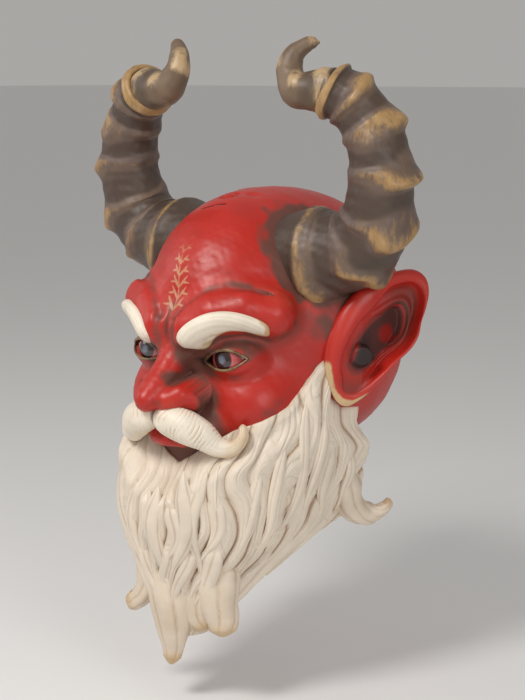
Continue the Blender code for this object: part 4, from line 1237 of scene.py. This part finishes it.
def carving(angle, z):
    """The relief in millimetres, and how deep in a valley a place is."""
    strand = flow(angle, z)
    lock = np.floor(strand)
    random = np.random.default_rng(61)
    level = random.uniform(-1, 1, 80)[(lock % 80).astype(int)]
    swing = random.uniform(0, 6.28, 80)[(lock % 80).astype(int)]
    broad = ridges(strand)
    swell = np.sin(-z / 14.0 + swing)
    spot = np.stack([angle * 95, z * 0.25, np.zeros_like(z)], -1).reshape(-1, 3)
    split = strand * 3.0 + 0.55 * waves(spot, 9, 52).reshape(z.shape)
    middle = ridges(split)
    finest = ridges(split * 2.7 + 0.8 * waves(spot, 6, 53).reshape(z.shape))
    side = step(0.62, 0.9, np.abs(np.cos(angle)))
    relief = (3.3 - 1.3 * side) * broad + (0.62 + 0.25 * side) * middle * (0.3 + 0.7 * broad) + 0.22 * finest
    relief = relief + (1.1 * level + 0.6 * swell) * broad ** 0.5 - SUNK
    gap = np.clip(0.55 + 0.6 * np.sin(-z / 17.0 + 2.4 * swing), 0.15, 1)
    valley = (1 - broad) ** 2.0 * 1.25 * gap + (1 - middle) ** 3 * (0.22 + 0.3 * side) + (1 - finest) ** 4 * 0.10
    return relief, np.clip(valley, 0, 1)


def beard_surface(angle, z):
    """The carved outside: near the hair line it grows out of the face's skin, and lower down it is the curtain."""
    points = curtain(angle, z)
    below = hair_top(angle) - z
    way = -outwards(points)
    near = below < 34
    skin = points.copy()
    skin[near] = walk_to(lambda p: head_distance(p, False), points[near] - way[near] * 12, way[near], 34, 0.9)
    sunk = np.linalg.norm(skin - points, axis=-1)
    grow = step(-3, 26, below)
    grow = np.where(sunk > 60, 1.0, grow)
    rise = np.sqrt(np.clip(below / 7.0, 0, 1)) * 3.6
    out = points * grow[..., None] + (skin - way * rise[..., None]) * (1 - grow[..., None])
    relief, valley = carving(angle, z)
    relief = relief * np.clip(0.35 + below / 22.0, 0.35, 1)
    tip = step(-176, -196, z)
    out = out - way * (relief * (1 - 0.7 * tip))[..., None]
    return out, way, valley, below


INSIDE_COLUMNS, BLOCK_DEPTH = 24, 11.0
SEAM_GAP = 0.0012  # in radians, so the blocks meet with a hair of room
SIDE_END, MIDDLE_END = -163.0, -199.0


def beard_block(start, end, z_end, rows, columns):
    """A curved slab between two edge angles, which change with height, from the hair line to z_end."""
    share_down = np.linspace(0, 1, rows)[:, None]
    share_round = np.linspace(0, 1, columns)[None, :]
    z = np.linspace(-60, z_end, rows)[:, None]
    angle = start(z) + (end(z) - start(z)) * share_round
    top = hair_top(angle)
    z = top + (z_end - top) * share_down
    angle = start(z) + (end(z) - start(z)) * share_round
    outer, way, valley, below = beard_surface(angle, z)
    pick = np.linspace(columns - 1, 0, INSIDE_COLUMNS).round().astype(int)
    depth = BLOCK_DEPTH * (0.12 + 0.88 * step(0, 14, below[:, pick])) * (1 - 0.75 * step(-165, -199, z[:, pick]))
    inside = curtain(angle[:, pick], z[:, pick])
    inside = np.where((below[:, pick] < 30)[..., None], outer[:, pick], inside) + way[:, pick] * depth[..., None]
    points = np.concatenate([outer, inside], 1)
    count = columns + INSIDE_COLUMNS
    faces = grid_faces(rows, count)
    for row, turned in ((0, True), (rows - 1, False)):
        faces += strip([row * count + i for i in range(columns)],
                       [row * count + count - 1 - i for i in range(INSIDE_COLUMNS)], turned)

    def padded(values, fill):
        return np.concatenate([values, np.full((rows, INSIDE_COLUMNS), fill)], 1).reshape(-1)

    ochre = 0.30 * step(-150, -190, z) + 0.35 * step(7, 0, below)
    # The inner faces, towards the head, are darkened with the glaze brown as painted shade.
    return points.reshape(-1, 3), faces, {"valley": padded(valley, 0.55), "ochre": padded(ochre, 0.2),
                                          "dark": np.zeros(points[..., 0].size)}


def strip(one, two, turned):
    """Triangles that close the gap between two rows of points, however many each has."""
    faces, j = [], 0
    for i in range(len(one) - 1):
        want = round((i + 1) * (len(two) - 1) / (len(one) - 1))
        faces.append((one[i], one[i + 1], two[j]))
        while j < want:
            faces.append((two[j], one[i + 1], two[j + 1]))
            j += 1
    return [face[::-1] for face in faces] if turned else faces


def seam(z):
    """The angle at which the beard is 40 mm from the middle, where the blocks meet."""
    half = section(z)[0]
    share = np.clip(SEAM_X / half, 0.0, 0.9999)
    angle = np.arccos(share)
    for _ in range(12):
        angle = np.arccos(np.clip(share / squared(angle), 0, 0.9999))
    return angle


side_block = beard_block(np.zeros_like, lambda z: np.maximum(seam(z) - SEAM_GAP, 0.02), SIDE_END, 300, 280)
middle_block = beard_block(lambda z: seam(z) + SEAM_GAP, lambda z: math.pi - seam(z) - SEAM_GAP, MIDDLE_END, 380, 380)
print("the beard's side block has", len(side_block[0]), "points, the middle", len(middle_block[0]))

# %% [markdown]
# The locks that stand free of the body are bent, flattened bars with a pointed end. They give the beard its ragged
# lower edge, the two flips at the jaw, and a few locks laid over the body so that it doesn't look like one sheet.
# Each has its own shallow grooves along it.

# %% Free locks
LOCK_ROWS, LOCK_COLUMNS = 90, 48


def lock(path, radii, flat, grooves, turn, stain):
    """A flattened, grooved bar along a path, pointed at its end. Its flat side looks out of the beard."""
    line = smooth_line(path, LOCK_ROWS)
    radius = smooth_line([(r,) for r in radii], LOCK_ROWS)[:, 0]
    share = np.linspace(0, 1, LOCK_ROWS)
    radius = np.maximum(radius * np.clip((1 - share) / 0.10, 0, 1) ** 0.5 * np.clip(share / 0.2, 0, 1) ** 0.6, 0.12)
    ahead = np.gradient(line, axis=0)
    ahead /= np.linalg.norm(ahead, axis=1)[:, None]
    away = outwards(line)
    away = away - ahead * np.einsum("ij,ij->i", ahead, away)[:, None]
    away /= np.linalg.norm(away, axis=1)[:, None]
    across = np.cross(ahead, away)
    around = np.linspace(0, 2 * math.pi, LOCK_COLUMNS, endpoint=False)
    wave = 0.5 + 0.5 * np.cos(grooves * (around[None, :] + turn + 0.35 * np.sin(share * 4 + turn)[:, None]))
    wave = np.sqrt(wave + 0.03)
    reach = radius[:, None] * (0.90 + 0.13 * wave)
    ring = np.cos(around)[None, :, None] * across[:, None] + flat * np.sin(around)[None, :, None] * away[:, None]
    points = (line[:, None] + ring * reach[:, :, None]).reshape(-1, 3)
    valley = np.clip(1 - wave, 0, 1) ** 2.2 * 0.75
    ochre = np.repeat(stain + 0.45 * step(0.72, 1.0, share), LOCK_COLUMNS)
    layers = {"valley": valley.reshape(-1), "ochre": ochre, "dark": np.zeros(len(points))}
    return points, tube_faces(LOCK_ROWS, LOCK_COLUMNS), layers


def laid_path(start_angle, start_z, end_z, width, swing, phase, lift):
    """The path and the radii of a lock on the beard's surface: it keeps its angle but for its own slow swing."""
    z = np.linspace(start_z, end_z, 16)
    share = np.linspace(0, 1, 16)
    sway = swing * np.sin(share * 2 * math.pi * 0.85 + phase) * (0.3 + share)
    points = curtain(start_angle + sway, z)
    proud = lift * np.sin(share * math.pi * 0.95) - SUNK + 1.2 * step(0.5, 1.0, share)
    swell = 0.35 + 0.65 * np.sin(np.clip(share * 1.25 + 0.10, 0, 1) * math.pi) ** 0.7
    return points + outwards(points) * proud[:, None], width * swell * (0.55 + 0.45 * section(z)[0] / 76.0)


# Each prong: its path, and its radius at each point of the path.
PRONGS = (
    (((0, -92, -138), (0, -95, -160), (0, -96, -180), (-1, -96, -197), (-2, -95, -209), (-2, -97, -219)),
     (20, 20, 17, 12, 8, 5.5)),
    (((26, -86, -138), (27, -88, -158), (28, -88, -174), (31, -86, -186), (33, -87, -196)), (15, 16, 14, 11, 7)),
    (((12, -94, -150), (14, -95, -168), (17, -94, -183), (22, -91, -193)), (12, 11, 9, 5)),
    (((-24, -88, -140), (-26, -89, -160), (-29, -91, -176), (-35, -94, -184), (-41, -97, -185)), (13, 13, 9.5, 7, 5)),
)
EDGE_PATH = np.array(((56, -36, -126), (49, -50, -139), (40, -65, -153), (33, -77, -167), (28, -85, -180)), float)
EDGE_RADII = (8, 9.5, 9.5, 8, 4)
FLIP_PATH = ((66, -8, -92), (66, -6, -108), (65, -2, -121), (68, 5, -129), (74, 13, -130.5), (79, 19, -126),
             (79.5, 20, -121))
FLIP_RADII = (14, 13.5, 12, 8.8, 6.8, 5.4, 4.0)

# %% The locks joined to their blocks
LAID_MIDDLE, LAID_SIDE = 15, 6
random = np.random.default_rng(71)
left, middle = Parts(), Parts()
left.add(*side_block[:2], **side_block[2])
middle.add(*middle_block[:2], **middle_block[2])


def add_lock(block, path, radii, flat, grooves, stain):
    points, faces, layers = lock(path, radii, flat, grooves, random.uniform(0, 6), stain)
    block.add(points, faces, **layers)


for path, radii in PRONGS:
    add_lock(middle, path, radii, 0.66, 6, 0.35)
for _, side in SIDES:
    add_lock(middle, EDGE_PATH * (side, 1, 1), EDGE_RADII, 0.7, 5, 0.15)
add_lock(left, FLIP_PATH, FLIP_RADII, 0.72, 6, 0.3)
for k in range(LAID_MIDDLE):
    angle = math.radians(52 + 76 * (k + 0.5) / LAID_MIDDLE + random.uniform(-1.5, 1.5))
    start = random.uniform(-108, -88) if k % 3 else random.uniform(-140, -120)
    end = random.uniform(-178, -150) if k % 3 else random.uniform(-199, -184)
    path, radii = laid_path(angle, start, end, random.uniform(5.0, 8.0), random.uniform(0.06, 0.12),
                            random.uniform(0, 6.28), random.uniform(2.6, 4.2))
    add_lock(middle, path, radii, 0.62, 4, 0.08)
for k in range(LAID_SIDE):
    angle = math.radians(5 + 42 * (k + 0.5) / LAID_SIDE + random.uniform(-1.5, 1.5))
    start = float(hair_top(np.array([angle]))[0]) - random.uniform(14, 40)
    end = -118 - 55 * (angle / math.radians(48)) + random.uniform(-8, 6)
    path, radii = laid_path(angle, start, max(end, -172), random.uniform(4.0, 6.0), random.uniform(0.02, 0.06),
                            random.uniform(0, 6.28), random.uniform(2.2, 3.6))
    add_lock(left, path, radii, 0.55, 5, 0.05)
right = Parts()
mirrored_layers = {layer: np.concatenate(values) for layer, values in left.layers.items()}
right.add(np.vstack(left.points) * (-1, 1, 1), left.faces, **mirrored_layers)
for word, parts in (("left", left), ("right", right), ("middle", middle)):
    made = parts.build("carved_beard_" + word, beard_colour)
    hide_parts("beard_" + word)
    print("beard", word, "has", len(made.data.polygons), "faces")

# %% [markdown]
# ## The pieces that keep their own solids
# The hanger and the pegs have the right shape already, so their solids stay and only get a better finish.

# %% Finishes for the hanger and the pegs
STEEL = ("hanger_strap", "hanger_ring", "hanger_screw", "batten_screw_left", "batten_screw_right")
PEGS = ("eye_plug", "horn_dowel", "tip_dowel", "ear_dowel", "chin_dowel", "jaw_dowel")
WOOD = ("hanger_batten", *(f"{peg}_{word}" for peg in PEGS for word, _ in SIDES))
for names, finish in ((STEEL, zinc_finish), (WOOD, bare_wood_finish)):
    for name in names:
        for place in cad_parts[name].material_slots:
            place.material = finish
print(len(STEEL), "steel nodes and", len(WOOD), "wooden nodes have a finish")

# %% [markdown]
# ## Floor, light and camera
# The mask hangs in the air, as it would from a nail, over a plain pale floor. Large soft lamps keep the varnish's
# highlights broad: the main one stands high in front, to the mask's left, and two weaker ones fill the shadows.

# %% Floor
FLOOR_GAP = 28.0  # the air under the beard, in millimetres
FLOOR_HALF = 40.0  # in metres, so that the floor's edge is out of sight
floor_z = cad_box[0][2] - FLOOR_GAP * MM
floor = bpy.data.meshes.new("floor")
floor.from_pydata([(x * FLOOR_HALF, y * FLOOR_HALF, floor_z) for x, y in ((-1, -1), (1, -1), (1, 1), (-1, 1))],
                  [], [(0, 1, 2, 3)])
floor_object = bpy.data.objects.new("floor", floor)
bpy.context.scene.collection.objects.link(floor_object)
shop = Shop("pale_floor")
floor.materials.append(shop.finish((0.82, 0.82, 0.82), 0.8 + shop.noise(60) * 0.05))

# %% Light
world = bpy.data.worlds.new("studio")
world.use_nodes = True
sky = world.node_tree.nodes["Background"]
sky.inputs["Color"].default_value = (1.0, 0.97, 0.94, 1.0)
sky.inputs["Strength"].default_value = 0.40
bpy.context.scene.world = world
MIDDLE = Vector((0.0, -0.045, -0.093))


def soft_lamp(name, place, size, power, colour=(1, 1, 1)):
    lamp = bpy.data.lights.new(name, "AREA")
    lamp.shape, lamp.size, lamp.energy, lamp.color = "DISK", size, power, colour
    made = bpy.data.objects.new(name, lamp)
    made.location = place
    made.rotation_euler = (MIDDLE - Vector(place)).to_track_quat("-Z", "Y").to_euler()
    bpy.context.scene.collection.objects.link(made)


soft_lamp("main", (-0.05, -0.95, 0.80), 0.40, 9.0, (1.0, 0.97, 0.93))
soft_lamp("fill", (1.1, -0.55, 0.25), 0.6, 3.6)
soft_lamp("left", (-1.0, -0.6, 0.4), 0.7, 2.0)

# %% Camera
VIEW_AROUND, VIEW_UP, VIEW_DISTANCE = math.radians(40.0), math.radians(9.5), 1.07
back = Vector((math.sin(VIEW_AROUND) * math.cos(VIEW_UP), -math.cos(VIEW_AROUND) * math.cos(VIEW_UP),
               math.sin(VIEW_UP)))
camera = bpy.data.objects.new("camera", bpy.data.cameras.new("camera"))
camera.data.lens = 85.0
camera.location = MIDDLE + back * VIEW_DISTANCE
camera.rotation_euler = back.to_track_quat("Z", "Y").to_euler()
bpy.context.scene.collection.objects.link(camera)
bpy.context.scene.camera = camera
bpy.context.scene.view_settings.view_transform = "Standard"
